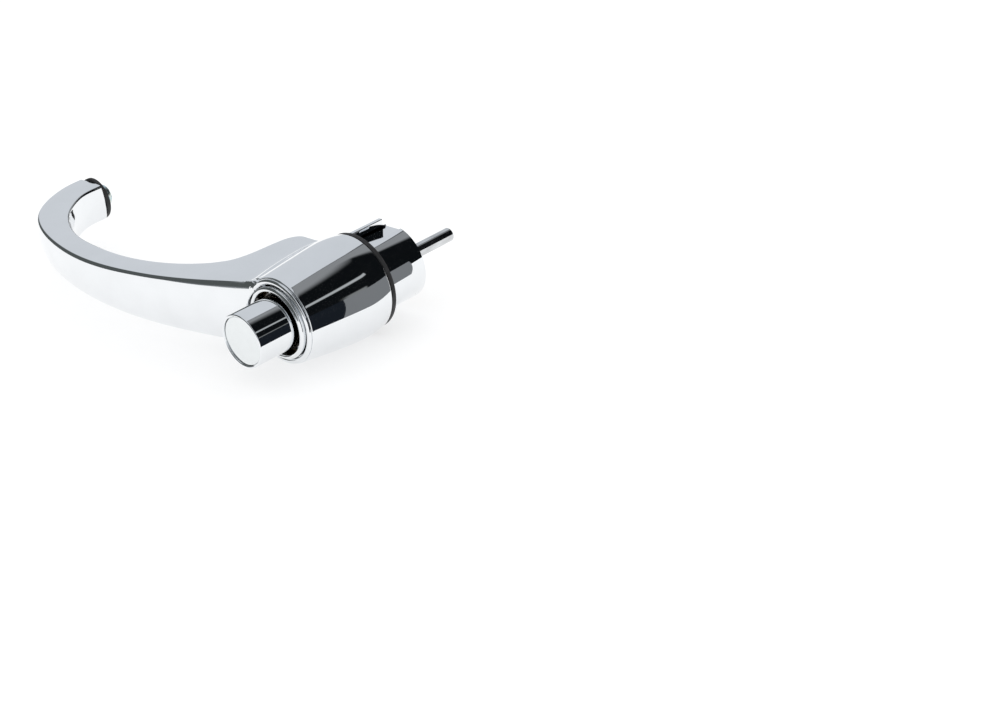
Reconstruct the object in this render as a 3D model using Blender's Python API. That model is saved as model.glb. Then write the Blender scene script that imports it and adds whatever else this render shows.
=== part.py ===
"""Push-button outside door handle for a vehicle, left-hand pattern.

One die casting makes the curved pull, the barrel and the rear shank. A chromed
button slides in the barrel against a spring and pushes a rod out of the
shank's rear, into the door's latch.

Frame: the origin is on the barrel's axis, in the plane where the gaskets meet
the door. +Y points into the door, -X runs along the pull, +Z is up.
"""

import math

import bmesh
import bpy
from mathutils import Matrix, Vector

MM = 0.001
GAP = 0.3 * MM               # clearance between pieces that touch
BASE_Y = 0.0                 # door side of both gaskets

# Gaskets
GASKET_THICKNESS = 2.2 * MM
GASKET_RIM = 3.9 * MM        # width of rubber round the shank's hole
NECK_REACH = 30.5 * MM       # barrel axis to the end of the gasket's neck
NECK_HALF_WIDTH = 11.3 * MM
NECK_CORNER_R = 3.2 * MM
SLOT_CORNER_R = 0.6 * MM     # of the boss's slot
TIP_GASKET_R = 9.2 * MM
TIP_GASKET_HOLE_R = 3.1 * MM

# Barrel and shank
BARREL_LENGTH = 39.4 * MM    # base plane to the outer edge of the nose
NOSE_R = 16.7 * MM
BELLY_R = 20.5 * MM
BASE_R = 19.4 * MM
TUCK_START = 0.72            # share of the barrel's length where it draws in again
SHANK_R = 15.0 * MM
SHANK_LENGTH = 20.0 * MM     # behind the gasket
BORE_R = 13.3 * MM
MOUTH_R = 12.5 * MM
BEZEL_OUTER_R = 14.6 * MM
BEZEL_DEPTH = 3.4 * MM       # seat of the bezel in the nose
BEZEL_PROUD = 1.5 * MM

# Flat on top of the shank, and the blade that stands at its far edge
FLAT_HALF_WIDTH = 4.2 * MM
FLAT_Z = 13.9 * MM
FLAT_START = 1.0 * MM        # behind the gasket
BLADE_THICKNESS = 2.0 * MM
BLADE_ROOT = 1.0 * MM        # extra thickness beside the gasket
BLADE_TOP_Z = 17.0 * MM
BLADE_SHORTFALL = 1.2 * MM   # it stops this far before the shank's end

# Boss for the screw at the lever's root
BOSS_REACH = 24.8 * MM
BOSS_HALF_WIDTH = 4.7 * MM
BOSS_PROUD = 1.6 * MM        # past the gasket
ROOT_SCREW_X = -20.8 * MM

# Lever
LEVER_BEVEL = 1.1 * MM       # crease between the flat top and the outer face
LEVER_INNER_FILLET = 3.2 * MM
LEVER_LOWER_FILLET = 4.2 * MM
LEVER_OUTER_BULGE = 1.5 * MM
LEVER_INNER_BULGE = 0.7 * MM
LEVER_REACH = 172.7 * MM     # barrel axis to the tip's outer end
LEVER_STAND_OFF = 54.7 * MM  # base plane to the outer edge, at the bow
ROOT_REACH = 32.5 * MM       # barrel axis to the corner of the root
ROOT_HALF_HEIGHT = 12.9 * MM
TIP_HALF_HEIGHT = 8.0 * MM
TIP_LENGTH = 15.4 * MM       # of the end face, along X

# Button, plunger and rod
BUTTON_R = 10.6 * MM
BUTTON_WALL = 1.0 * MM
BUTTON_PROUD = 16.4 * MM     # past the bezel
BUTTON_FLANGE_R = 11.6 * MM
FLANGE_INSET = 4.0 * MM      # mouth to the front of the flange
BUTTON_TRAVEL = 8.0 * MM
RIM_WIDTH = 0.9 * MM
SLEEVE_WALL = 1.0 * MM
SLEEVE_LENGTH = 30.0 * MM
KEY_COUNT = 3
KEY_WIDTH = 3.0 * MM
KEY_LENGTH = 6.0 * MM
PLUNGER_LENGTH = 16.0 * MM
ROD_R = 2.78 * MM
ROD_PROUD = 28.0 * MM        # past the shank's rear
PIN_R = 1.0 * MM

# Spring, bush and circlip
SPRING_R = 7.6 * MM          # to the wire's centre
SPRING_WIRE_R = 0.6 * MM
SPRING_TURNS = 6.5
BUSH_LENGTH = 8.0 * MM
SEAT_THICKNESS = 0.8 * MM
CIRCLIP_THICKNESS = 1.0 * MM
CIRCLIP_INSET = 1.3 * MM     # from the shank's rear face
CIRCLIP_BITE = 0.7 * MM      # how far the ring sits in its groove

# Screws and lock washers
SCREW_R = 2.1 * MM
SCREW_HEAD_R = 4.75 * MM
SCREW_HEAD_HEIGHT = 3.1 * MM
SCREW_DEPTH = 11.0 * MM
LOCK_WASHER_R = 4.2 * MM
LOCK_WASHER_THICKNESS = 1.0 * MM

# Places worked out from the sizes above
TIP_X = TIP_LENGTH / 2 - LEVER_REACH         # axis of the tip's screw
FACE_Y = BASE_Y - GASKET_THICKNESS           # base plane of the casting
NOSE_Y = FACE_Y - BARREL_LENGTH
MOUTH_Y = NOSE_Y - BEZEL_PROUD
REAR_Y = BASE_Y + SHANK_LENGTH
BUTTON_Y = MOUTH_Y - BUTTON_PROUD
GASKET_HOLE_R = SHANK_R + GAP
GASKET_R = GASKET_HOLE_R + GASKET_RIM
THREAD_HOLE_R = SCREW_R + GAP
SLEEVE_R = BORE_R - GAP
SLEEVE_BORE_R = SLEEVE_R - SLEEVE_WALL
SLEEVE_Y = NOSE_Y + BEZEL_DEPTH + GAP
PLUNGER_R = SLEEVE_BORE_R - GAP
CIRCLIP_Y = REAR_Y - CIRCLIP_INSET - CIRCLIP_THICKNESS
BUSH_Y = CIRCLIP_Y - GAP - BUSH_LENGTH
SEAT_Y = BUSH_Y - GAP - SEAT_THICKNESS
FLANGE_THICKNESS = BUTTON_WALL
FLANGE_Y = MOUTH_Y + FLANGE_INSET
PLUNGER_Y = FLANGE_Y + FLANGE_THICKNESS + GAP
PLUNGER_REAR_Y = PLUNGER_Y + PLUNGER_LENGTH
PIN_Y = PLUNGER_REAR_Y - 4.0 * MM
KEY_Y = PLUNGER_REAR_Y - KEY_LENGTH

# The pull past its root. Each station has its outer edge and its inner edge, as
# shares of the way from root to tip and of the stand-off, and how far its half
# height is from the tip's towards the root's.
STATIONS = [
    ((-0.018, 0.843), (0.009, 0.170), 0.92),
    ((0.053, 0.892), (0.025, 0.417), 0.80),
    ((0.139, 0.940), (0.079, 0.581), 0.67),
    ((0.239, 0.978), (0.182, 0.713), 0.55),
    ((0.367, 1.000), (0.339, 0.788), 0.39),
    ((0.517, 0.973), (0.489, 0.771), 0.22),
    ((0.660, 0.892), (0.617, 0.717), 0.12),
    ((0.788, 0.771), (0.724, 0.605), 0.04),
    ((0.895, 0.600), (0.810, 0.450), 0.00),
    ((0.966, 0.362), (0.868, 0.261), 0.00),
]


def clear_scene():
    for item in list(bpy.data.objects):
        bpy.data.objects.remove(item, do_unlink=True)


def finish(name, colour, metallic, roughness):
    shade = bpy.data.materials.new(name)
    shade.use_nodes = True
    shader = shade.node_tree.nodes["Principled BSDF"]
    shader.inputs["Base Color"].default_value = (*colour, 1.0)
    shader.inputs["Metallic"].default_value = metallic
    shader.inputs["Roughness"].default_value = roughness
    return shade


# ---- Mesh helpers

def place(name, mesh_data, shade, sharp_angle=35.0):
    """Make the named object of a bmesh, with its material and its shading."""
    mesh_data.normal_update()
    bmesh.ops.recalc_face_normals(mesh_data, faces=mesh_data.faces)
    mesh = bpy.data.meshes.new(name)
    mesh_data.to_mesh(mesh)
    mesh_data.free()
    mesh.materials.append(shade)
    mesh.shade_smooth()
    mesh.set_sharp_from_angle(angle=math.radians(sharp_angle))
    item = bpy.data.objects.new(name, mesh)
    bpy.context.scene.collection.objects.link(item)
    return item


def loft(rings, closed=False):
    """Skin equal rings of points, with a flat cap at each end."""
    skin = bmesh.new()
    loops = [[skin.verts.new(point) for point in ring] for ring in rings]
    count = len(rings[0])
    last = len(loops) if closed else len(loops) - 1
    for i in range(last):
        near, far = loops[i], loops[(i + 1) % len(loops)]
        for j in range(count):
            k = (j + 1) % count
            skin.faces.new((near[j], near[k], far[k], far[j]))
    if not closed:
        skin.faces.new(loops[0])
        skin.faces.new(loops[-1])
    return skin


def turned(profile, segments=48, start=0.0, sweep=math.tau, centre=(0.0, 0.0)):
    """Turn a closed outline of (radius, y) points about a line along Y."""
    whole = sweep >= math.tau
    steps = segments if whole else segments + 1
    rings = []
    for i in range(steps):
        angle = start + sweep * i / segments
        rings.append([
            (centre[0] + r * math.cos(angle), y, centre[1] + r * math.sin(angle))
            for r, y in profile
        ])
    body = loft(rings, closed=whole)
    bmesh.ops.remove_doubles(body, verts=body.verts, dist=0.001 * MM)
    return body


def tube(inner_r, outer_r, front, rear, chamfer=0.0):
    """Outline of a ring, its four corners broken by a chamfer."""
    c = chamfer
    if c == 0.0:
        return [(inner_r, front), (outer_r, front), (outer_r, rear), (inner_r, rear)]
    return [
        (inner_r, front + c), (inner_r + c, front), (outer_r - c, front), (outer_r, front + c),
        (outer_r, rear - c), (outer_r - c, rear), (inner_r + c, rear), (inner_r, rear - c),
    ]


def rod(radius, front, rear, chamfer=0.0):
    """Outline of a solid round bar."""
    c = chamfer
    if c == 0.0:
        return [(0.0, front), (radius, front), (radius, rear), (0.0, rear)]
    return [(0.0, front), (radius - c, front), (radius, front + c),
            (radius, rear - c), (radius - c, rear), (0.0, rear)]


def block(low, high):
    """A box between two corners."""
    box = bmesh.new()
    bmesh.ops.create_cube(box, size=1.0)
    for vert in box.verts:
        vert.co = Vector((low[i] + (vert.co[i] + 0.5) * (high[i] - low[i]) for i in range(3)))
    return box


def slab(outline, hole, front, rear):
    """A flat plate with a hole, from two closed outlines of (x, z) points."""
    plate = bmesh.new()
    edges = []
    for path in (outline, hole):
        verts = [plate.verts.new((x, front, z)) for x, z in path]
        for i, vert in enumerate(verts):
            edges.append(plate.edges.new((vert, verts[(i + 1) % len(verts)])))
    bmesh.ops.triangle_fill(plate, edges=edges, use_beauty=True)
    lid = bmesh.ops.extrude_face_region(plate, geom=list(plate.faces))
    moved = [part for part in lid["geom"] if isinstance(part, bmesh.types.BMVert)]
    bmesh.ops.translate(plate, verts=moved, vec=(0.0, rear - front, 0.0))
    return plate


def combine(target, tool_mesh, operation):
    """Join a tool to the target or cut it out, and apply the result."""
    tool = place("tool", tool_mesh, target.data.materials[0])
    boolean = target.modifiers.new("combine", "BOOLEAN")
    boolean.operation = operation
    boolean.object = tool
    seen = bpy.context.evaluated_depsgraph_get()
    result = bpy.data.meshes.new_from_object(target.evaluated_get(seen))
    target.modifiers.remove(boolean)
    target.data = result
    bpy.data.objects.remove(tool, do_unlink=True)
    while len(result.materials) > 1:
        result.materials.pop()


def smooth_shade(item, sharp_angle=35.0):
    item.data.shade_smooth()
    item.data.set_sharp_from_angle(angle=math.radians(sharp_angle))


def arc(centre, radius, start, end, steps):
    """Points on an arc, its angles in degrees."""
    points = []
    for i in range(steps + 1):
        angle = math.radians(start + (end - start) * i / steps)
        points.append((centre[0] + radius * math.cos(angle), centre[1] + radius * math.sin(angle)))
    return points


def through(stations, steps):
    """Catmull-Rom values through equal lists of numbers."""
    values = []
    for i in range(len(stations) - 1):
        before = stations[max(i - 1, 0)]
        here, ahead = stations[i], stations[i + 1]
        after = stations[min(i + 2, len(stations) - 1)]
        for step in range(steps):
            t = step / steps
            values.append([
                0.5 * (2 * b + (c - a) * t + (2 * a - 5 * b + 4 * c - d) * t * t
                       + (3 * b - a - 3 * c + d) * t ** 3)
                for a, b, c, d in zip(before, here, ahead, after)
            ])
    values.append(list(stations[-1]))
    return values


# ---- The casting

def barrel_outline():
    """Half outline of the barrel: a belly between the nose and the base."""
    joint = 0.6 * MM
    points = [(0.0, NOSE_Y), (NOSE_R - 1.6 * MM, NOSE_Y), (NOSE_R - 0.6 * MM, NOSE_Y + 0.25 * MM),
              (NOSE_R, NOSE_Y + joint)]
    steps = 14
    start, end = NOSE_Y + joint, FACE_Y + 1.0 * MM
    for i in range(1, steps + 1):
        t = i / steps
        swell = NOSE_R + (BELLY_R - NOSE_R) * math.sin(math.pi / 2 * t)
        tuck = (BELLY_R - BASE_R) * max(0.0, (t - TUCK_START) / (1 - TUCK_START)) ** 2
        points.append((swell - tuck, start + (end - start) * t))
    points.append((0.0, end))
    return points


def lever_section(width, half_height):
    """Closed outline across the pull, from the inner edge (0) to the outer one."""
    h, w = half_height, width
    inner, lower, bevel = LEVER_INNER_FILLET, LEVER_LOWER_FILLET, LEVER_BEVEL
    outline = arc((inner, h - inner), inner, 180, 90, 4)
    outline.append((w - bevel, h))
    top, bottom = h - 0.8 * bevel, -h + lower
    steps = 8
    for i in range(steps):
        t = i / steps
        outline.append((w + LEVER_OUTER_BULGE * 4 * t * (1 - t), top + (bottom - top) * t))
    outline += arc((w - lower, bottom), lower, 0, -90, 5)
    outline += arc((inner, inner - h), inner, 270, 180, 4)
    for t in (0.25, 0.5, 0.75):
        outline.append((-LEVER_INNER_BULGE * 4 * t * (1 - t), (2 * t - 1) * (h - inner)))
    return outline


def lever_stations():
    """Outer (x, y), inner (x, y) and half height, in metres, root to tip."""
    proud = FACE_Y + 1.0 * MM            # the root is cut back to the base plane
    fan = [
        (-4.0 * MM, NOSE_Y + 3.1 * MM, -4.0 * MM, proud, ROOT_HALF_HEIGHT),
        (-14.0 * MM, NOSE_Y - 0.8 * MM, -18.0 * MM, proud, ROOT_HALF_HEIGHT),
        (-22.0 * MM, NOSE_Y - 3.9 * MM, 1.5 * MM - ROOT_REACH, proud, ROOT_HALF_HEIGHT),
    ]
    span = LEVER_REACH - ROOT_REACH
    bow = [
        (-ROOT_REACH - span * outer[0], FACE_Y - LEVER_STAND_OFF * outer[1],
         -ROOT_REACH - span * inner[0], FACE_Y - LEVER_STAND_OFF * inner[1],
         TIP_HALF_HEIGHT + (ROOT_HALF_HEIGHT - TIP_HALF_HEIGHT) * tall)
        for outer, inner, tall in STATIONS
    ]
    tip = [
        (-LEVER_REACH, FACE_Y - back, TIP_LENGTH - LEVER_REACH, FACE_Y - back, TIP_HALF_HEIGHT)
        for back in (6.5 * MM, 0.0)
    ]
    return fan + bow + tip


def lever_mesh():
    rings = []
    for outer_x, outer_y, inner_x, inner_y, half_height in through(lever_stations(), 3):
        across = Vector((outer_x - inner_x, outer_y - inner_y))
        width = across.length
        across.normalize()
        rings.append([
            (inner_x + a * across.x, inner_y + a * across.y, z)
            for a, z in lever_section(width, half_height)
        ])
    return loft(rings)


def screw_hole(x, mouth_y):
    """Cutter for a blind hole that a mounting screw goes into."""
    depth = SCREW_DEPTH + 1.0 * MM
    return turned(rod(THREAD_HOLE_R, mouth_y - depth, mouth_y + 1.0 * MM), 24, centre=(x, 0.0))


def make_casting(chrome):
    casting = place("handle_casting", turned(barrel_outline(), 64), chrome)
    combine(casting, lever_mesh(), "UNION")
    reach, deep = 200.0 * MM, 20.0 * MM
    combine(casting, block((-NECK_REACH - deep, FACE_Y, -deep * 2),
                           (reach, FACE_Y + deep, deep * 2)), "DIFFERENCE")
    shank_start = FACE_Y - 6.0 * MM
    combine(casting, turned(rod(SHANK_R, shank_start, REAR_Y), 64), "UNION")
    combine(casting, block((-FLAT_HALF_WIDTH - BLADE_THICKNESS, shank_start, SHANK_R - 6.0 * MM),
                           (-FLAT_HALF_WIDTH + BLADE_ROOT, REAR_Y - BLADE_SHORTFALL, BLADE_TOP_Z)),
            "UNION")
    boss_end = BASE_Y + BOSS_PROUD
    combine(casting, block((-BOSS_REACH, shank_start, -BOSS_HALF_WIDTH),
                           (-SHANK_R + 1.0 * MM, boss_end, BOSS_HALF_WIDTH)), "UNION")
    bore = [(0.0, NOSE_Y - deep), (BEZEL_OUTER_R, NOSE_Y - deep),
            (BEZEL_OUTER_R, NOSE_Y + BEZEL_DEPTH), (BORE_R, NOSE_Y + BEZEL_DEPTH),
            (BORE_R, CIRCLIP_Y - GAP), (BORE_R + CIRCLIP_BITE, CIRCLIP_Y - GAP),
            (BORE_R + CIRCLIP_BITE, CIRCLIP_Y + CIRCLIP_THICKNESS + GAP),
            (BORE_R, CIRCLIP_Y + CIRCLIP_THICKNESS + GAP), (BORE_R, REAR_Y + deep),
            (0.0, REAR_Y + deep)]
    combine(casting, turned(bore, 64), "DIFFERENCE")
    combine(casting, block((-FLAT_HALF_WIDTH, BASE_Y + FLAT_START, FLAT_Z),
                           (FLAT_HALF_WIDTH, REAR_Y + deep, BLADE_TOP_Z + deep)), "DIFFERENCE")
    combine(casting, screw_hole(ROOT_SCREW_X, boss_end), "DIFFERENCE")
    combine(casting, screw_hole(TIP_X, FACE_Y), "DIFFERENCE")
    smooth_shade(casting)
    return casting


def make_bezel(chrome):
    """Bright lip round the mouth, pressed into the nose."""
    seat = NOSE_Y + BEZEL_DEPTH - GAP
    round_r = 0.7 * MM
    outer = BEZEL_OUTER_R - GAP
    outline = [(MOUTH_R, seat), (MOUTH_R, MOUTH_Y + round_r)]
    outline += [(r, y) for r, y in arc((MOUTH_R + round_r, MOUTH_Y + round_r), round_r, 200, 270, 4)]
    outline += [(r, y) for r, y in arc((outer - round_r, MOUTH_Y + round_r), round_r, -90, 0, 4)]
    outline += [(outer, seat)]
    return place("nose_bezel", turned(outline, 64), chrome)


# ---- Gaskets

def keyhole_outline():
    """The big gasket's outside: a ring with a neck that flares to its end."""
    lean = math.degrees(math.asin(0.52))
    ring = arc((0.0, 0.0), GASKET_R, -180 + lean, 180 - lean, 40)
    end = NECK_CORNER_R
    corner_x = end - NECK_REACH
    corner_z = NECK_HALF_WIDTH - end
    upper = arc((corner_x, corner_z), end, 90, 180, 5)
    lower = arc((corner_x, -corner_z), end, 180, 270, 5)
    return ring + upper + lower


def keyhole_opening():
    """Its opening: the shank's circle, the boss's slot and the blade's relief."""
    slot = BOSS_HALF_WIDTH + GAP
    near = FLAT_HALF_WIDTH - BLADE_ROOT - GAP
    far = FLAT_HALF_WIDTH + BLADE_THICKNESS + GAP
    relief_top = BLADE_TOP_Z + GAP
    slot_lean = math.degrees(math.asin(slot / GASKET_HOLE_R))
    near_lean = math.degrees(math.asin(near / GASKET_HOLE_R))
    far_lean = math.degrees(math.asin(far / GASKET_HOLE_R))
    corner = SLOT_CORNER_R
    end_x = corner - BOSS_REACH - GAP
    right = arc((0.0, 0.0), GASKET_HOLE_R, -180 + slot_lean, 90 + near_lean, 34)
    relief = [(-near, relief_top), (-far, relief_top)]
    left = arc((0.0, 0.0), GASKET_HOLE_R, 90 + far_lean, 180 - slot_lean, 10)
    upper = arc((end_x, slot - corner), corner, 90, 180, 3)
    lower = arc((end_x, corner - slot), corner, 180, 270, 3)
    return right + relief + left + upper + lower


def make_gaskets(rubber):
    front, rear = FACE_Y + GAP, BASE_Y
    place("barrel_gasket", slab(keyhole_outline(), keyhole_opening(), front, rear), rubber)
    outline = tube(TIP_GASKET_HOLE_R, TIP_GASKET_R, front, rear, 0.2 * MM)
    place("tip_gasket", turned(outline, 40, centre=(TIP_X, 0.0)), rubber)


# ---- Screws and lock washers

def make_fixing(which, x, seat_y, mouth_y, zinc, steel):
    """A pan-head screw with its split lock washer, run home at seat_y."""
    washer_front = seat_y + GAP
    washer_rear = washer_front + LOCK_WASHER_THICKNESS
    ring = tube(THREAD_HOLE_R, LOCK_WASHER_R, washer_front, washer_rear)
    washer = turned(ring, 32, math.radians(5), math.radians(350), (x, 0.0))
    place(which + "_lock_washer", washer, steel)
    head = washer_rear + GAP
    crown = head + SCREW_HEAD_HEIGHT
    edge = 1.4 * MM
    outline = [(0.0, mouth_y - SCREW_DEPTH), (SCREW_R - 0.5 * MM, mouth_y - SCREW_DEPTH),
               (SCREW_R, mouth_y - SCREW_DEPTH + 0.5 * MM), (SCREW_R, head), (SCREW_HEAD_R, head),
               (SCREW_HEAD_R, head + edge)]
    outline += [
        (SCREW_HEAD_R * math.cos(math.radians(a)) * 0.98,
         head + edge + (SCREW_HEAD_HEIGHT - edge) * math.sin(math.radians(a)))
        for a in (20, 45, 70)
    ]
    outline.append((0.0, crown))
    screw = place(which + "_screw", turned(outline, 32, centre=(x, 0.0)), zinc)
    arm, width, deep = 2.4 * MM, 0.55 * MM, 1.6 * MM
    for half_x, half_z in ((arm, width), (width, arm)):
        recess = block((x - half_x, crown - deep, -half_z), (x + half_x, crown + deep, half_z))
        combine(screw, recess, "DIFFERENCE")
    smooth_shade(screw)


# ---- Button, plunger and rod

def make_button(chrome, satin):
    """Chromed cup with an out-turned flange, and the disc inside its rim."""
    foot = FLANGE_Y + FLANGE_THICKNESS
    inner = BUTTON_R - BUTTON_WALL
    ledge = BUTTON_Y + 1.6 * MM
    disc_r = BUTTON_R - RIM_WIDTH
    bead = 0.35 * MM
    cup = [(inner, foot), (BUTTON_FLANGE_R, foot), (BUTTON_FLANGE_R, FLANGE_Y),
           (BUTTON_R + 0.4 * MM, FLANGE_Y), (BUTTON_R, FLANGE_Y - 0.4 * MM),
           (BUTTON_R, BUTTON_Y + 2 * bead), (BUTTON_R - 0.3 * bead, BUTTON_Y + bead),
           (BUTTON_R - bead, BUTTON_Y), (disc_r + bead, BUTTON_Y), (disc_r, BUTTON_Y + bead),
           (disc_r, ledge), (disc_r - 1.6 * MM, ledge), (disc_r - 1.6 * MM, ledge + 1.0 * MM),
           (inner, ledge + 2.0 * MM)]
    place("button_cap", turned(cup, 64), chrome)
    disc_edge = disc_r - GAP
    disc = [(0.0, ledge - GAP), (disc_edge, ledge - GAP), (disc_edge, BUTTON_Y + 0.5 * MM),
            (disc_edge - 0.3 * MM, BUTTON_Y + 0.25 * MM), (0.0, BUTTON_Y + 0.2 * MM)]
    place("button_face_disc", turned(disc, 64), satin)


def plunger_keys():
    for i in range(KEY_COUNT):
        yield math.tau * (i + 0.25) / KEY_COUNT


def radial_block(inner_r, outer_r, half_width, front, rear, angle):
    """A box that stands out from the axis at an angle round it."""
    box = block((inner_r, front, -half_width), (outer_r, rear, half_width))
    bmesh.ops.rotate(box, verts=box.verts, cent=(0.0, 0.0, 0.0),
                     matrix=Matrix.Rotation(-angle, 3, "Y"))
    return box


def make_sleeve(bronze):
    """Bore lining, with a slot for each of the plunger's keys."""
    rear = SLEEVE_Y + SLEEVE_LENGTH
    sleeve = place("barrel_sleeve", turned(tube(SLEEVE_BORE_R, SLEEVE_R, SLEEVE_Y, rear), 64), bronze)
    for angle in plunger_keys():
        slot = radial_block(SLEEVE_BORE_R - 2.0 * MM, SLEEVE_R + 2.0 * MM, KEY_WIDTH / 2 + GAP,
                            KEY_Y - GAP, rear + 2.0 * MM, angle)
        combine(sleeve, slot, "DIFFERENCE")
    smooth_shade(sleeve)


def make_plunger(steel, rubber):
    """Guide body inside the sleeve: spigot, seal groove, keys and rod hole."""
    spigot_r = BUTTON_R - BUTTON_WALL - GAP
    spigot_y = BUTTON_Y + 4.6 * MM
    groove_y = PLUNGER_Y + 2.4 * MM
    groove = 2.0 * MM
    depth = 1.5 * MM
    outline = [(0.0, spigot_y), (spigot_r - 0.6 * MM, spigot_y), (spigot_r, spigot_y + 0.6 * MM),
               (spigot_r, PLUNGER_Y), (PLUNGER_R, PLUNGER_Y), (PLUNGER_R, groove_y),
               (PLUNGER_R - depth, groove_y), (PLUNGER_R - depth, groove_y + groove),
               (PLUNGER_R, groove_y + groove), (PLUNGER_R, PLUNGER_REAR_Y),
               (0.0, PLUNGER_REAR_Y)]
    plunger = place("button_plunger", turned(outline, 64), steel)
    for angle in plunger_keys():
        key = radial_block(PLUNGER_R - 2.0 * MM, SLEEVE_R - GAP / 2, KEY_WIDTH / 2,
                           KEY_Y, PLUNGER_REAR_Y, angle)
        combine(plunger, key, "UNION")
    hole = turned(rod(ROD_R + GAP, rod_front() - GAP, PLUNGER_REAR_Y + 2.0 * MM), 32)
    combine(plunger, hole, "DIFFERENCE")
    combine(plunger, pin_mesh(PIN_R + GAP, PLUNGER_R * 2), "DIFFERENCE")
    smooth_shade(plunger)
    centre_r = PLUNGER_R - depth + GAP + 0.6 * MM
    ring = arc((centre_r, groove_y + groove / 2), 0.6 * MM, 0, 330, 11)
    place("plunger_seal", turned(ring, 48), rubber)


def rod_front():
    return PLUNGER_Y + 4.0 * MM


def pin_mesh(radius, length):
    """The cross pin, upright through the plunger and the rod."""
    pin = turned(rod(radius, -length / 2, length / 2), 24)
    for vert in pin.verts:
        vert.co = Vector((vert.co.x, PIN_Y + vert.co.z, vert.co.y))
    return pin


def make_rod(steel, pin_steel):
    rear = REAR_Y + ROD_PROUD
    outline = [(0.0, rod_front()), (ROD_R, rod_front()), (ROD_R, rear - 0.9 * MM),
               (ROD_R - 0.3 * MM, rear - 0.35 * MM), (ROD_R - 0.9 * MM, rear), (0.0, rear)]
    bar = place("plunger_rod", turned(outline, 32), steel)
    combine(bar, pin_mesh(PIN_R + GAP, ROD_R * 4), "DIFFERENCE")
    smooth_shade(bar)
    place("cross_pin", pin_mesh(PIN_R, PLUNGER_R * 2 - 2.0 * MM), pin_steel)


# ---- Spring, bush and circlip

def make_spring(steel):
    """Compression spring between the plunger and its seat."""
    clear = SPRING_WIRE_R + GAP
    front, rear = PLUNGER_REAR_Y + clear, SEAT_Y - clear
    per_turn, sides = 14, 8
    count = int(SPRING_TURNS * per_turn)
    dead = per_turn
    rings = []
    for i in range(count + 1):
        angle = math.tau * i / per_turn
        along = min(max((i - dead / 2) / (count - dead), 0.0), 1.0)
        y = front + (rear - front) * along
        out = Vector((math.cos(angle), 0.0, math.sin(angle)))
        up = Vector((0.0, 1.0, 0.0))
        centre = out * SPRING_R + up * y
        rings.append([
            centre + (out * math.cos(math.tau * k / sides) + up * math.sin(math.tau * k / sides))
            * SPRING_WIRE_R
            for k in range(sides)
        ])
    place("return_spring", loft(rings), steel, 60.0)


def make_bush(brass, rubber, steel):
    """Rear plug that guides the rod, with its seal, spring seat and circlip."""
    outer = BORE_R - GAP
    hole = ROD_R + GAP
    groove_r = hole + 1.5 * MM
    groove_y = BUSH_Y + BUSH_LENGTH / 2
    half = 1.0 * MM
    rear = BUSH_Y + BUSH_LENGTH
    outline = [(hole, BUSH_Y), (outer - 0.4 * MM, BUSH_Y), (outer, BUSH_Y + 0.4 * MM), (outer, rear),
               (hole, rear), (hole, groove_y + half), (groove_r, groove_y + half),
               (groove_r, groove_y - half), (hole, groove_y - half)]
    place("rear_bush", turned(outline, 48), brass)
    ring_r = (groove_r + ROD_R) / 2
    thick = (groove_r - ROD_R) / 2 - GAP
    place("rod_seal", turned(arc((ring_r, groove_y), thick, 0, 330, 11), 36), rubber)
    place("spring_seat", turned(tube(hole + 0.5 * MM, outer - 0.5 * MM, SEAT_Y,
                                     SEAT_Y + SEAT_THICKNESS), 48), steel)
    opening = 50.0
    ring = tube(BORE_R - 2.0 * MM, BORE_R + CIRCLIP_BITE - GAP, CIRCLIP_Y,
                CIRCLIP_Y + CIRCLIP_THICKNESS)
    start = math.radians(opening / 2 - 90)
    clip = place("bush_circlip",
                 turned(ring, 48, start, math.radians(360 - opening)), steel)
    for side in (-1, 1):
        angle = math.radians(-90 + side * (opening / 2 + 4))
        lug = radial_block(BORE_R - 4.6 * MM, BORE_R - 1.4 * MM, 1.6 * MM, CIRCLIP_Y,
                           CIRCLIP_Y + CIRCLIP_THICKNESS, angle)
        combine(clip, lug, "UNION")
    smooth_shade(clip)


def main():
    clear_scene()
    chrome = finish("chrome_plate", (0.86, 0.87, 0.88), 1.0, 0.05)
    satin = finish("chrome_satin", (0.84, 0.85, 0.86), 1.0, 0.15)
    bronze = finish("bore_bronze", (0.36, 0.27, 0.17), 1.0, 0.4)
    zinc = finish("zinc_plate", (0.55, 0.66, 0.70), 1.0, 0.3)
    steel = finish("bright_steel", (0.70, 0.71, 0.72), 1.0, 0.25)
    brass = finish("bush_brass", (0.78, 0.62, 0.30), 1.0, 0.35)
    rubber = finish("black_rubber", (0.015, 0.015, 0.016), 0.0, 0.65)
    make_casting(chrome)
    make_bezel(chrome)
    make_sleeve(bronze)
    make_button(chrome, satin)
    make_plunger(steel, rubber)
    make_rod(steel, steel)
    make_spring(steel)
    make_bush(brass, rubber, steel)
    make_gaskets(rubber)
    make_fixing("root", ROOT_SCREW_X, BASE_Y + BOSS_PROUD, BASE_Y + BOSS_PROUD, zinc, steel)
    make_fixing("tip", TIP_X, BASE_Y, FACE_Y, zinc, steel)


main()
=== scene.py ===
"""Push-button outside door handle: its finished surfaces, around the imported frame.

Every place is in metres in the frame's own axes: the origin is on the barrel's
axis in the plane where the gaskets meet the door, +Y points into the door, -X
runs along the pull and +Z is up.
"""

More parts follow.
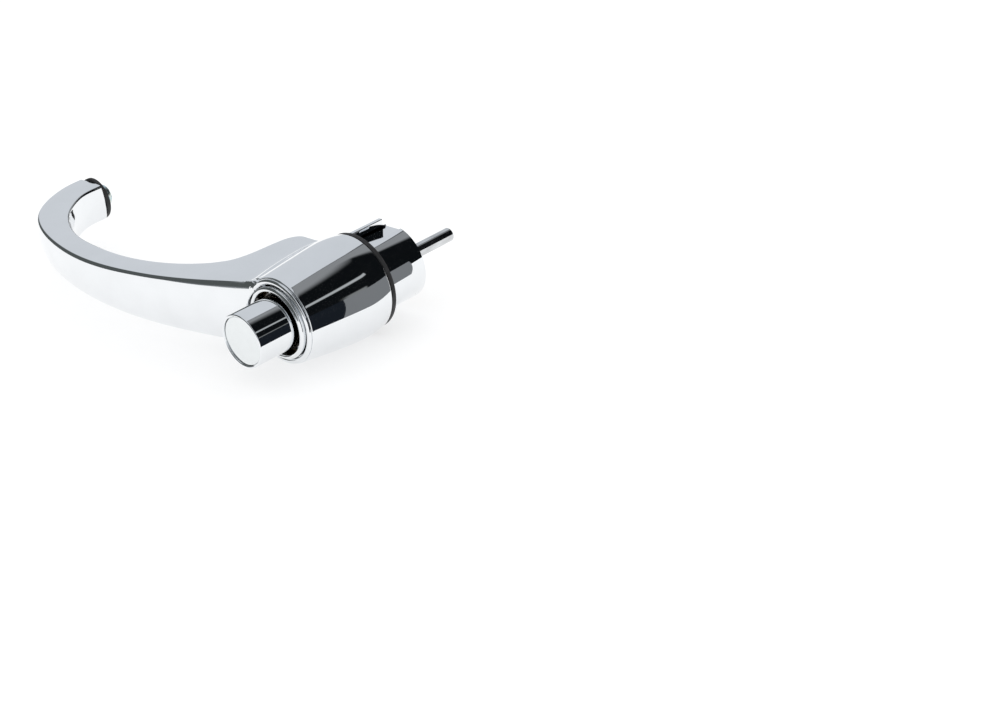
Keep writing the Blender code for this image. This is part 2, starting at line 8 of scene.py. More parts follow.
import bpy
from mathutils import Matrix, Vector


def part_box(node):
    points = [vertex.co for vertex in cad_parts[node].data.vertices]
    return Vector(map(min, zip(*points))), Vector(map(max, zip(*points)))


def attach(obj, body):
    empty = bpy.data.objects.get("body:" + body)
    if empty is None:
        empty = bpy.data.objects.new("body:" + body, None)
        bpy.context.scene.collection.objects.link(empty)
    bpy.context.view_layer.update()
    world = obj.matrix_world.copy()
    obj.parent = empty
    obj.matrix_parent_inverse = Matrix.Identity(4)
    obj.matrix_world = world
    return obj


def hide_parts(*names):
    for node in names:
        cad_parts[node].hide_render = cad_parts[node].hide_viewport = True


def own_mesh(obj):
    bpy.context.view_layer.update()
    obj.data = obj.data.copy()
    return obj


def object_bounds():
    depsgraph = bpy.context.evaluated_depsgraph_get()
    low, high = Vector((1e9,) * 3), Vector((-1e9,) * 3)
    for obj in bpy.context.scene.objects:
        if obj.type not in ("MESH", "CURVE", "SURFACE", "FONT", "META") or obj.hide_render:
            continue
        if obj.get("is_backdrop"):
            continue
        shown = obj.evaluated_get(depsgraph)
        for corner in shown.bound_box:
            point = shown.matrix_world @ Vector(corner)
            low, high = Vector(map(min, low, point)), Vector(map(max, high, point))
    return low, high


bl_info = {
    "name": "Push-button door handle",
    "version": (1, 0, 0),
    "blender": (4, 5, 0),
    "location": "3D View > Sidebar > Handle",
    "description": "Finished pieces of a push-button vehicle door handle",
    "category": "Object",
}

import math

import bmesh
import bpy
import numpy as np
from bpy.props import FloatProperty, FloatVectorProperty, IntProperty, PointerProperty
from mathutils import Matrix, Vector
from mathutils.bvhtree import BVHTree

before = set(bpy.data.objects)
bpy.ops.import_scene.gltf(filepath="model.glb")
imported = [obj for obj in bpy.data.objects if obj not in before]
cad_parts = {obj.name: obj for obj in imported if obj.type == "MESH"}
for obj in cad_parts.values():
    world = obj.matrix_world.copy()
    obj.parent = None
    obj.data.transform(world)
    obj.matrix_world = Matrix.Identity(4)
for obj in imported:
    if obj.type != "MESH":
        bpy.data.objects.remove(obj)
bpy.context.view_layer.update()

MM = 0.001
GAP = 0.3 * MM                       # clearance between pieces that touch


def low(node, axis):
    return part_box(node)[0]["xyz".index(axis)]


def high(node, axis):
    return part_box(node)[1]["xyz".index(axis)]


def radius_of(node):
    """Radius of a round node that may stand off the barrel's axis."""
    return (high(node, "x") - low(node, "x")) / 2


# Sizes that the pieces share
BEZEL_DEPTH = 3.4 * MM               # seat of the bezel behind the nose
TIP_LENGTH = 15.4 * MM               # of the pull's end face
SLEEVE_WALL = 1.0 * MM
KEY_COUNT, KEY_HALF_WIDTH, KEY_LENGTH = 3, 1.5 * MM, 6.0 * MM
BOSS_HALF_WIDTH, BOSS_END_X, BOSS_INNER_X = 4.7 * MM, -24.8 * MM, -13.6 * MM
SUNK = 3.0 * MM                      # how far shank, blade and boss start inside the casting
FLAT_HALF_WIDTH, FLAT_Z = 4.2 * MM, 13.9 * MM
BLADE_FAR_X, BLADE_TOP_Z = 6.2 * MM, 17.0 * MM
BLADE_ROOT_X = 3.2 * MM              # the blade is thicker beside the gasket
BLADE_FOOT_Z = 13.0 * MM             # inside the tube's wall

# Places read from the frame
BASE_Y = high("barrel_gasket", "y")
FACE_Y = low("barrel_gasket", "y") - GAP
MOUTH_Y = low("nose_bezel", "y")
NOSE_Y = high("nose_bezel", "y") + GAP - BEZEL_DEPTH
REAR_Y = high("handle_casting", "y")
BELLY_Y = NOSE_Y + 1.75 * MM         # start of the barrel's swelling side
TUCK_START = 0.72                    # share of its length where it draws in again
BEZEL_R = high("nose_bezel", "x")
BEZEL_SEAT_Y = high("nose_bezel", "y")
BORE_R = high("barrel_sleeve", "x") + GAP
BUTTON_Y = low("button_cap", "y")
FLANGE_REAR_Y = high("button_cap", "y")
TIP_X = (low("tip_gasket", "x") + high("tip_gasket", "x")) / 2
ROOT_SCREW_X = (low("root_screw", "x") + high("root_screw", "x")) / 2
LEVER_REACH = TIP_LENGTH / 2 - TIP_X  # the round gasket sits at the middle of the tip
GASKET_R = high("barrel_gasket", "z")
NECK_REACH = -low("barrel_gasket", "x")
ROD_R = high("plunger_rod", "x")
ROD_FRONT_Y, ROD_REAR_Y = low("plunger_rod", "y"), high("plunger_rod", "y")

# The pull past its root: outer edge and inner edge of each station, as shares of
# the way from root to tip and of the stand-off, and the share of the half height.
STATIONS = [
    ((-0.018, 0.843), (0.009, 0.170), 0.92),
    ((0.053, 0.892), (0.025, 0.417), 0.80),
    ((0.139, 0.940), (0.079, 0.581), 0.67),
    ((0.239, 0.978), (0.182, 0.713), 0.55),
    ((0.367, 1.000), (0.339, 0.788), 0.39),
    ((0.517, 0.973), (0.489, 0.771), 0.22),
    ((0.660, 0.892), (0.617, 0.717), 0.12),
    ((0.788, 0.771), (0.724, 0.605), 0.04),
    ((0.895, 0.600), (0.810, 0.450), 0.00),
    ((0.966, 0.362), (0.868, 0.261), 0.00),
]


# ---- Sizes and colours that a user would change

def length(name, description, millimetres):
    return FloatProperty(name=name, description=description, default=millimetres * MM,
                         min=0.0, subtype="DISTANCE", unit="LENGTH", precision=5)


def colour(name, description, value):
    return FloatVectorProperty(name=name, description=description, default=value,
                               size=3, min=0.0, max=1.0, subtype="COLOR")


class HANDLE_PG_sizes(bpy.types.PropertyGroup):
    """Sizes of the finished surfaces"""

    nose_r: length("Nose radius", "Radius of the barrel's front bead", 16.7)
    belly_r: length("Belly radius", "Largest radius of the barrel", 20.5)
    base_r: length("Base radius", "Radius of the barrel at the gasket", 19.4)
    shank_r: length("Shank radius", "Radius of the tube behind the gasket", 15.0)
    stand_off: length("Stand-off", "Base plane to the outer edge of the bow", 54.7)
    root_reach: length("Root reach", "Barrel axis to the corner of the root", 32.5)
    root_half_height: length("Root half height", "Half height of the pull at its root", 12.9)
    tip_half_height: length("Tip half height", "Half height of the pull at its tip", 8.0)
    tip_length: length("Tip length", "Length of the tip's end face", TIP_LENGTH / MM)
    crease_r: length("Crease radius", "Rounding between the top and the outer face", 1.6)
    inner_fillet: length("Inner fillet", "Rounding of the edges on the door side", 3.2)
    inner_top_r: length("Inner top edge", "Rounding of the top's edge on the door side", 1.3)
    lower_fillet: length("Lower fillet", "Rounding of the lower outer edge", 4.6)
    outer_bulge: length("Outer bulge", "Swell of the outer face", 1.5)
    inner_bulge: length("Inner bulge", "Swell of the door side", 0.7)
    crown: length("Crown", "Swell of the flat top", 0.25)
    blend_reach: length("Blend reach", "Reach of the fillet between pull and barrel", 5.0)
    button_r: length("Button radius", "Radius of the chromed cap", 10.6)
    rim_width: length("Rim width", "Rim of the cap round its face disc", 0.9)
    wire_r: length("Spring wire radius", "Radius of the return spring's wire", 0.6)
    spring_turns: FloatProperty(name="Spring turns", description="Turns of the return spring",
                                default=6.5, min=2.0, max=20.0)
    segments: IntProperty(name="Segments", description="Steps round a turned piece",
                          default=128, min=24, max=256)


class HANDLE_PG_finishes(bpy.types.PropertyGroup):
    """Colours of the finishes"""

    chrome: colour("Chrome", "Polished plating", (0.86, 0.875, 0.89))
    bezel: colour("Bezel", "Polished plating of the mouth's lip", (0.86, 0.875, 0.89))
    disc: colour("Face disc", "Plating of the button's face", (0.82, 0.845, 0.85))
    bronze: colour("Bronze", "Lining of the bore", (0.17, 0.125, 0.08))
    zinc: colour("Zinc", "Passivated screws", (0.50, 0.64, 0.69))
    steel: colour("Steel", "Bright turned steel", (0.66, 0.67, 0.68))
    brass: colour("Brass", "Rear bush", (0.80, 0.62, 0.28))
    rubber: colour("Rubber", "Gaskets and seals", (0.012, 0.012, 0.013))
    floor: colour("Floor", "Studio floor", (0.45, 0.455, 0.46))


# ---- Node helpers

def new_finish(name, base, metallic, roughness):
    shade = bpy.data.materials.new(name)
    shade.use_nodes = True
    shader = shade.node_tree.nodes["Principled BSDF"]
    shader.inputs["Base Color"].default_value = (*base, 1.0)
    shader.inputs["Metallic"].default_value = metallic
    shader.inputs["Roughness"].default_value = roughness
    return shade, shader


def node(tree, kind, inputs=None, **settings):
    """Add a shader node; each of its inputs is a value or another node's socket."""
    made = tree.nodes.new("ShaderNode" + kind)
    for name, value in settings.items():
        setattr(made, name, value)
    for name, value in (inputs or {}).items():
        if isinstance(value, bpy.types.NodeSocket):
            tree.links.new(value, made.inputs[name])
        else:
            made.inputs[name].default_value = value
    return made


def grain(shade, scale, detail=3.0, stretch=(1.0, 1.0, 1.0)):
    """A noise over the object's own coordinates; scale is in cycles a metre."""
    tree = shade.node_tree
    place = node(tree, "TexCoord").outputs["Object"]
    mapping = node(tree, "Mapping", {"Vector": place, "Scale": stretch})
    inputs = {"Vector": mapping.outputs["Vector"], "Scale": scale, "Detail": detail}
    return node(tree, "TexNoise", inputs).outputs["Fac"]


def rings(shade, scale, direction, distortion=0.4):
    """Turning marks: bands along an axis, or rings round one."""
    tree = shade.node_tree
    place = node(tree, "TexCoord").outputs["Object"]
    inputs = {"Vector": place, "Scale": scale, "Distortion": distortion, "Detail": 2.0}
    kind = "BANDS" if direction == "Y" else "RINGS"
    wave = node(tree, "TexWave", inputs, wave_type=kind, bands_direction="Y", rings_direction="Y")
    return wave.outputs["Fac"]


def spread(shade, source, low_in, high_in, low_out, high_out):
    """Carry a value from one range to another."""
    inputs = {"Value": source, "From Min": low_in, "From Max": high_in,
              "To Min": low_out, "To Max": high_out}
    return node(shade.node_tree, "MapRange", inputs).outputs["Result"]


def tint(shade, source, stops):
    """Colour a value by (position, colour) stops."""
    ramp = node(shade.node_tree, "ValToRGB", {"Fac": source})
    ramp.color_ramp.elements.remove(ramp.color_ramp.elements[1])
    ramp.color_ramp.elements[0].position = stops[0][0]
    ramp.color_ramp.elements[0].color = (*stops[0][1], 1.0)
    for position, value in stops[1:]:
        ramp.color_ramp.elements.new(position).color = (*value, 1.0)
    return ramp.outputs["Color"]


def relief(shade, shader, source, depth, strength):
    """Bump of a depth in metres, laid over any bump that is there."""
    bump = node(shade.node_tree, "Bump", {"Distance": depth, "Strength": strength, "Height": source})
    links = shade.node_tree.links
    before = shader.inputs["Normal"]
    if before.is_linked:
        links.new(before.links[0].from_socket, bump.inputs["Normal"])
    links.new(bump.outputs["Normal"], before)


def scaled(value, factor):
    return tuple(min(1.0, v * factor) for v in value)


def clouded(name, base, metallic, roughness, cloud, stops):
    """A finish that takes its colour from a cloud. Each stop is a position with
    a factor of the base colour or another colour."""
    shade, shader = new_finish(name, base, metallic, roughness)
    source = grain(shade, *cloud)
    stops = [(at, scaled(base, tone) if isinstance(tone, float) else tone) for at, tone in stops]
    shade.node_tree.links.new(tint(shade, source, stops), shader.inputs["Base Color"])
    return shade, shader, source


def worn(shade, shader, source, *ranges):
    """Roughness that follows a source: its range and the roughness's range."""
    shade.node_tree.links.new(spread(shade, source, *ranges), shader.inputs["Roughness"])


def chrome_finish(base):
    """Polished plating: faint clouding, wipe marks and the casting's slow waves."""
    stops = [(0.3, 0.965), (0.7, 1.0)]
    shade, shader, _ = clouded("chrome_plate", base, 1.0, 0.04, (90.0, 4.0), stops)
    wipes = grain(shade, 260.0, 6.0, (1.0, 1.0, 4.0))
    worn(shade, shader, wipes, 0.35, 0.75, 0.018, 0.06)
    relief(shade, shader, grain(shade, 45.0, 1.0), 0.15 * MM, 0.06)
    return shade


# Painted shade: a near-black colour laid inside the mouth, where the deep bore is in shade.
MOUTH_PAINTED_SHADE = (0.03, 0.024, 0.018, 1.0)


def bezel_finish(base):
    """The same plating on the lip, and painted shade inside the mouth: near black past the lip, where
    the deep bore is in shade.
    """
    shade = chrome_finish(base)
    shade.name = "bezel_plate"
    tree = shade.node_tree
    base_input = tree.nodes["Principled BSDF"].inputs["Base Color"]
    place = node(tree, "TexCoord").outputs["Object"]
    along = node(tree, "SeparateXYZ", {0: place}).outputs["Y"]
    flat = node(tree, "VectorMath", {0: place, 1: (1.0, 0.0, 1.0)}, operation="MULTIPLY")
    radius = node(tree, "VectorMath", {0: flat.outputs["Vector"]}, operation="LENGTH")
    # Painted shade: within the wall's radius and deeper than the lip, the plating's colour turns near
    # black.
    wall_r, painted_shade_start, edge = BEZEL_R - 1.4 * MM, MOUTH_Y + 0.85 * MM, 0.1 * MM
    inside = spread(shade, radius.outputs["Value"], wall_r - edge, wall_r + edge, 1.0, 0.0)
    deep = spread(shade, along, painted_shade_start - edge, painted_shade_start + edge, 0.0, 1.0)
    both = node(tree, "Math", {0: inside, 1: deep}, operation="MULTIPLY")
    colours = {"Factor": both.outputs[0], 6: base_input.links[0].from_socket, 7: MOUTH_PAINTED_SHADE}
    mix = node(tree, "Mix", colours, data_type="RGBA")
    tree.links.new(mix.outputs[2], base_input)
    return shade


def disc_finish(base):
    """The button's face: fine rings left by its polishing."""
    stops = [(0.3, 0.96), (0.7, 1.0)]
    shade, shader, _ = clouded("disc_plate", base, 1.0, 0.12, (160.0, 5.0), stops)
    worn(shade, shader, rings(shade, 900.0, "ROUND"), 0.0, 1.0, 0.10, 0.17)
    relief(shade, shader, rings(shade, 1400.0, "ROUND", 0.2), 0.004 * MM, 0.25)
    return shade


def bronze_finish(base):
    """Unplated lining, streaked along the bore."""
    streaks, stops = (300.0, 5.0, (1.0, 0.12, 1.0)), [(0.25, 0.45), (0.55, 1.0), (0.8, 1.7)]
    shade, shader, streak = clouded("bore_lining", base, 1.0, 0.4, streaks, stops)
    worn(shade, shader, streak, 0.3, 0.7, 0.28, 0.5)
    relief(shade, shader, rings(shade, 500.0, "Y"), 0.02 * MM, 0.3)
    return shade


def zinc_finish(base):
    """Blue-white passivate with its cloudy spangle."""
    yellowish, bluish = (0.72, 0.74, 0.66), (0.86, 0.92, 0.95)
    stops = [(0.3, 0.55), (0.5, 1.0), (0.62, yellowish), (0.78, bluish)]
    shade, shader, _ = clouded("zinc_passivate", base, 1.0, 0.3, (700.0, 6.0), stops)
    worn(shade, shader, grain(shade, 1500.0, 4.0), 0.3, 0.7, 0.2, 0.42)
    relief(shade, shader, grain(shade, 2500.0, 3.0), 0.02 * MM, 0.35)
    return shade


def turned_finish(name, base, pitch, polish):
    """Metal off a lathe: marks along Y, slightly uneven in colour."""
    marks, stops = (350.0, 5.0, (1.0, 0.4, 1.0)), [(0.3, 0.78), (0.6, 1.0), (0.85, 1.15)]
    shade, shader, cloud = clouded(name, base, 1.0, polish, marks, stops)
    worn(shade, shader, cloud, 0.3, 0.7, polish * 0.7, polish * 1.5)
    relief(shade, shader, rings(shade, pitch, "Y", 0.8), 0.006 * MM, 0.12)
    return shade


def steel_finish(base):
    return turned_finish("turned_steel", base, 700.0, 0.08)


def brass_finish(base):
    return turned_finish("turned_brass", base, 420.0, 0.28)


def rubber_finish(base):
    """Moulded rubber: a fine grain, dust-grey where it is rubbed."""
    stops = [(0.35, 1.0), (0.62, 1.8), (0.85, (0.045, 0.045, 0.047))]
    shade, shader, _ = clouded("moulded_rubber", base, 0.0, 0.62, (240.0, 6.0), stops)
    worn(shade, shader, grain(shade, 1200.0, 3.0), 0.3, 0.7, 0.5, 0.75)
    relief(shade, shader, grain(shade, 2600.0, 4.0), 0.05 * MM, 0.5)
    relief(shade, shader, grain(shade, 300.0, 2.0), 0.1 * MM, 0.25)
    return shade


FLOOR_GLOW = 0.58


def floor_finish(base):
    """Matt studio paper that glows a little, so that its shadows stay pale."""
    stops = [(0.3, 0.985), (0.7, 1.0)]
    shade, shader, _ = clouded("studio_paper", base, 0.0, 0.9, (25.0, 3.0), stops)
    relief(shade, shader, grain(shade, 900.0, 3.0), 0.05 * MM, 0.1)
    shader.inputs["Specular IOR Level"].default_value = 0.0
    shader.inputs["Emission Color"].default_value = (1.0, 1.0, 1.0, 1.0)
    shader.inputs["Emission Strength"].default_value = FLOOR_GLOW
    return shade


FINISHES = {
    "chrome": chrome_finish,
    "bezel": bezel_finish,
    "disc": disc_finish,
    "bronze": bronze_finish,
    "zinc": zinc_finish,
    "steel": steel_finish,
    "brass": brass_finish,
    "rubber": rubber_finish,
    "floor": floor_finish,
}
made_finishes = {}


def finish_of(name):
    """The named finish, made once from the user's colour."""
    if name not in made_finishes:
        base = tuple(getattr(bpy.context.scene.handle_finishes, name))
        made_finishes[name] = FINISHES[name](base)
    return made_finishes[name]


# ---- Mesh helpers

def loft(loops, closed=False):
    """Skin equal rings of points, with a cap at each end unless they close up."""
    skin = bmesh.new()
    made = [[skin.verts.new(point) for point in ring] for ring in loops]
    count = len(loops[0])
    for i in range(len(made) if closed else len(made) - 1):
        near, far = made[i], made[(i + 1) % len(made)]
        for j in range(count):
            k = (j + 1) % count
            skin.faces.new((near[j], near[k], far[k], far[j]))
    if not closed:
        skin.faces.new(made[0])
        skin.faces.new(made[-1])
    return skin


def turned(profile, segments=None, centre=(0.0, 0.0), start=0.0, sweep=math.tau):
    """Turn a closed outline of (radius, y) points about a line along Y."""
    segments = segments or bpy.context.scene.handle_sizes.segments
    whole = sweep >= math.tau
    loops = []
    for i in range(segments if whole else segments + 1):
        angle = start + sweep * i / segments
        c, s = math.cos(angle), math.sin(angle)
        loops.append([(centre[0] + r * c, y, centre[1] + r * s) for r, y in profile])
    body = loft(loops, closed=whole)
    bmesh.ops.remove_doubles(body, verts=body.verts, dist=0.002 * MM)
    return body


def arc(centre, radius, start, end, steps):
    """Points on an arc, its angles in degrees."""
    angles = [math.radians(start + (end - start) * i / steps) for i in range(steps + 1)]
    return [(centre[0] + radius * math.cos(a), centre[1] + radius * math.sin(a)) for a in angles]


def rounded(points, radius, steps=4):
    """A closed outline with every corner rounded; radius may be a list."""
    out = []
    count = len(points)
    radii = radius if isinstance(radius, (list, tuple)) else [radius] * count
    for i, r in enumerate(radii):
        here = Vector(points[i])
        if r <= 0.0:
            out.append(tuple(here))
            continue
        before = Vector(points[i - 1]) - here
        after = Vector(points[(i + 1) % count]) - here
        cut = min(r, 0.49 * before.length, 0.49 * after.length)
        first, last = here + before.normalized() * cut, here + after.normalized() * cut
        for k in range(steps + 1):
            t = k / steps
            out.append(tuple(first * (1 - t) ** 2 + here * 2 * t * (1 - t) + last * t * t))
    return out


def tube(inner_r, outer_r, front, rear, radius):
    """Outline of a ring with rounded corners."""
    return rounded([(inner_r, front), (outer_r, front), (outer_r, rear), (inner_r, rear)], radius)


def bar(radius, front, rear, edge):
    """Outline of a solid round bar with rounded ends."""
    outline = [(0.0, front), (radius, front), (radius, rear), (0.0, rear)]
    return rounded(outline, [0.0, edge, edge, 0.0])


def block(low_corner, high_corner, edge, segments=3):
    """A box with rounded edges."""
    box = bmesh.new()
    bmesh.ops.create_cube(box, size=1.0)
    for vert in box.verts:
        vert.co = Vector([a + (c + 0.5) * (b - a) for a, b, c in zip(low_corner, high_corner, vert.co)])
    bmesh.ops.bevel(box, geom=box.edges[:], offset=edge, segments=segments, profile=0.5, affect="EDGES")
    return box


def to_mesh(name, shell):
    """A mesh with the faces of a bmesh turned outward; the bmesh is freed."""
    shell.normal_update()
    bmesh.ops.recalc_face_normals(shell, faces=shell.faces)
    mesh = bpy.data.meshes.new(name)
    shell.to_mesh(mesh)
    shell.free()
    return mesh


def merged(parts):
    """One bmesh of several shells."""
    whole = bmesh.new()
    for part in parts:
        mesh = to_mesh("shell", part)
        whole.from_mesh(mesh)
        bpy.data.meshes.remove(mesh)
    return whole


def placed(name, mesh):
    """A new object of a mesh, in the scene."""
    item = bpy.data.objects.new(name, mesh)
    bpy.context.scene.collection.objects.link(item)
    return item


def piece(name, shell, finish, body, nodes, sharp=35.0):
    """A finished piece in place of CAD nodes, riding on their body."""
    mesh = to_mesh(name, shell)
    mesh.materials.append(finish_of(finish))
    mesh.shade_smooth()
    mesh.set_sharp_from_angle(angle=math.radians(sharp))
    item = placed(name, mesh)
    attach(item, body)
    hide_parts(*nodes)
    return item


# ---- The casting

def smooth_run(stations, step, sigma):
    """Even samples of a natural cubic spline through stations, then eased by a
    moving average whose width is sigma; both ends stay where they are."""
    values = np.array(stations, float)
    middle = (values[:, 0:2] + values[:, 2:4]) / 2
    knots = np.concatenate([[0.0], np.cumsum(np.linalg.norm(np.diff(middle, axis=0), axis=1))])
    n, h = len(knots), np.diff(knots)
    bend = np.zeros((n, n))
    right = np.zeros((n, values.shape[1]))
    bend[0, 0] = bend[-1, -1] = 1.0
    for i in range(1, n - 1):
        bend[i, i - 1:i + 2] = h[i - 1], 2 * (h[i - 1] + h[i]), h[i]
        right[i] = 6 * ((values[i + 1] - values[i]) / h[i] - (values[i] - values[i - 1]) / h[i - 1])
    second = np.linalg.solve(bend, right)
    count = int(round(knots[-1] / step))
    samples = []
    for s in np.linspace(0.0, knots[-1], count + 1):
        i = min(int(np.searchsorted(knots, s, side="right")) - 1, n - 2)
        a, b = (knots[i + 1] - s) / h[i], (s - knots[i]) / h[i]
        samples.append(a * values[i] + b * values[i + 1]
                       + ((a ** 3 - a) * second[i] + (b ** 3 - b) * second[i + 1]) * h[i] ** 2 / 6)
    samples = np.array(samples)
    reach = int(3 * sigma / step)
    weights = np.exp(-0.5 * (np.arange(-reach, reach + 1) * step / sigma) ** 2)
    weights /= weights.sum()
    ahead = 2 * samples[0] - samples[reach:0:-1]
    behind = 2 * samples[-1] - samples[-2:-reach - 2:-1]
    padded = np.concatenate([ahead, samples, behind])
    return np.array([weights @ padded[i:i + 2 * reach + 1] for i in range(len(samples))])


def lever_section(sizes, width, half_height):
    """Closed outline across the pull as (across, z), inner edge to outer edge.
    The outer face swells, and the rounded edges run into it without a kink."""
    h, w = half_height, width
    inner = min(sizes.inner_fillet, 0.45 * w)
    inner_top = min(sizes.inner_top_r, 0.3 * w)
    lower, crease, crown = sizes.lower_fillet, sizes.crease_r, sizes.crown
    bulge = sizes.outer_bulge * h / sizes.root_half_height
    lean = 0.0
    for _ in range(4):
        height = 2 * h - (crease + lower) * (1 - math.sin(lean))
        lean = math.atan2(4 * bulge, height)
    outline = arc((inner_top, h - inner_top), inner_top, 180, 90, 7)
    top = 22
    for i in range(1, top):
        t = i / top
        across = inner_top + (w - crease - inner_top) * t
        outline.append((across, h + 4 * crown * t * (1 - t)))
    outline += arc((w - crease, h - crease), crease, 90, math.degrees(lean), 8)
    start_x, start_z = outline[-1]
    lower_arc = arc((w - lower, lower - h), lower, -math.degrees(lean), -90, 12)
    end_x, end_z = lower_arc[0]
    face = 26
    for i in range(1, face):
        t = i / face
        across = start_x + (end_x - start_x) * t + 4 * bulge * t * (1 - t)
        outline.append((across, start_z + (end_z - start_z) * t))
    outline += lower_arc
    outline += arc((inner, inner - h), inner, 270, 180, 9)
    back = 12
    for i in range(1, back):
        t = i / back
        z = inner - h + (2 * h - inner - inner_top) * t
        outline.append((-sizes.inner_bulge * 4 * t * (1 - t), z))
    return outline


def lever_stations(sizes):
    """Rows along the pull: x and y of its outer and inner edge, and half height."""
    proud = FACE_Y + 1.0 * MM
    h, root = sizes.root_half_height, sizes.root_reach
    fan = [
        (-4.0 * MM, NOSE_Y + 3.1 * MM, -4.0 * MM, proud, h),
        (-14.0 * MM, NOSE_Y - 0.8 * MM, -18.0 * MM, proud, h),
        (-22.0 * MM, NOSE_Y - 3.9 * MM, 1.5 * MM - root, proud, h),
    ]
    span, rise = LEVER_REACH - root, sizes.root_half_height - sizes.tip_half_height
    bow = [
        (-root - span * outer[0], FACE_Y - sizes.stand_off * outer[1],
         -root - span * inner[0], FACE_Y - sizes.stand_off * inner[1],
         sizes.tip_half_height + rise * tall)
        for outer, inner, tall in STATIONS
    ]
    tip = [
        (-LEVER_REACH, FACE_Y - back, sizes.tip_length - LEVER_REACH, FACE_Y - back,
         sizes.tip_half_height)
        for back in (6.5 * MM, 0.0)
    ]
    return fan + bow + tip


def lever_shell(sizes):
    """The pull as one loft from inside the barrel's wall to the tip's end face.
    Its hidden end lies on a cylinder just outside the bore."""
    loops = []
    for row in smooth_run(lever_stations(sizes), 0.7 * MM, 4.0 * MM):
        outer, inner = Vector(row[0:2]), Vector(row[2:4])
        across = (outer - inner).normalized()
        loops.append([
            Vector((inner.x + a * across.x, inner.y + a * across.y, z))
            for a, z in lever_section(sizes, (outer - inner).length, row[4])
        ])
    keep_r = BEZEL_R + GAP + 0.3 * MM
    for loop in loops:
        for point in loop:
            r = math.hypot(point.x, point.z)
            if r < keep_r:
                point.x = -math.sqrt(max(keep_r ** 2 - min(abs(point.z), keep_r) ** 2, 0.0))
    middle = sum(point.y for point in loops[0]) / len(loops[0])
    end_cap = []
    for share in (0.02, 0.15, 0.3, 0.45, 0.6, 0.72, 0.82, 0.91):
        shrunk = [(middle + (point.y - middle) * share, point.z * share) for point in loops[0]]
        end_cap.append([Vector((-math.sqrt(keep_r ** 2 - z ** 2), y, z)) for y, z in shrunk])
    shell = loft(end_cap + loops)
    cut = bmesh.ops.bisect_plane(shell, geom=shell.verts[:] + shell.edges[:] + shell.faces[:],
                                 plane_co=(0.0, FACE_Y, 0.0), plane_no=(0.0, 1.0, 0.0),
                                 clear_outer=True, dist=1e-7)
    rim = [part for part in cut["geom_cut"] if isinstance(part, bmesh.types.BMEdge)]
    bmesh.ops.edgeloop_fill(shell, edges=rim)
    return shell


def belly_outline(sizes):
    """(radius, y) along the barrel's swelling side, front to base."""
    start, end = BELLY_Y, FACE_Y
    points = []
    steps = 64
    for i in range(steps + 1):
        t = i / steps
        along = 0.06 + 0.94 * t
        swell = sizes.nose_r + (sizes.belly_r - sizes.nose_r) * math.sin(math.pi / 2 * along)
        drawn_in = max(0.0, (along - TUCK_START) / (1 - TUCK_START)) ** 2
        tuck = (sizes.belly_r - sizes.base_r) * drawn_in
        points.append((swell - tuck, start + (end - start) * t))
    return points


def barrel_shell(sizes):
    """The barrel: front bead, groove, belly and flat base, as a thick ring."""
    seat_r = BEZEL_R + GAP
    bead = (sizes.nose_r - seat_r) / 2
    front = arc((seat_r + bead, NOSE_Y + bead), bead, 180, 360, 16)
    groove_r, groove_y = sizes.nose_r - 0.3 * MM, NOSE_Y + bead
    neck = [(sizes.nose_r - 0.04 * MM, groove_y + 0.12 * MM), (groove_r, groove_y + 0.25 * MM),
            (groove_r, groove_y + 0.4 * MM)]
    side = belly_outline(sizes)
    shoulder = side[0]
    side[0:1] = arc((shoulder[0] - 0.45 * MM, shoulder[1] + 0.1 * MM), 0.45 * MM, 260, 350, 6)
    edge = 0.5 * MM
    base_r, base_y = side[-1]
    side[-1:] = arc((base_r - edge, base_y - edge), edge, 0, 90, 5)
    wall = 14.0 * MM
    back = [(wall, FACE_Y), (wall, BEZEL_SEAT_Y + GAP), (seat_r, BEZEL_SEAT_Y + GAP)]
    return turned(front + neck + side + back, 240)


def soften(shell, own_normals, distance_to_other, reach):
    """Move a shell's points out along their normals, onto the smooth union with
    its neighbour, and give back the union's own normals. Points that end on the
    neighbour's side dip under it."""
    hidden, dip = -1.2 * MM, 0.3
    facing = {}
    for vert in shell.verts:
        away, _ = distance_to_other(vert.co)
        if not hidden < away < reach:
            continue
        out = own_normals[vert.index]
        t = 0.0
        for _ in range(8):
            other, _ = distance_to_other(vert.co + out * t)
            near = max(reach - abs(t - other), 0.0) / reach
            level = min(t, other) - near * near * reach / 4
            t = min(max(t - 0.8 * level, 0.0), 0.8 * reach)
        other, other_out = distance_to_other(vert.co + out * t)
        share = min(max(0.5 + 0.5 * (other - t) / reach, 0.0), 1.0)
        facing[vert.index] = (out * share + other_out * (1.0 - share)).normalized()
        if t > other:
            t -= dip * (t - other)
        vert.co += out * t
    return facing


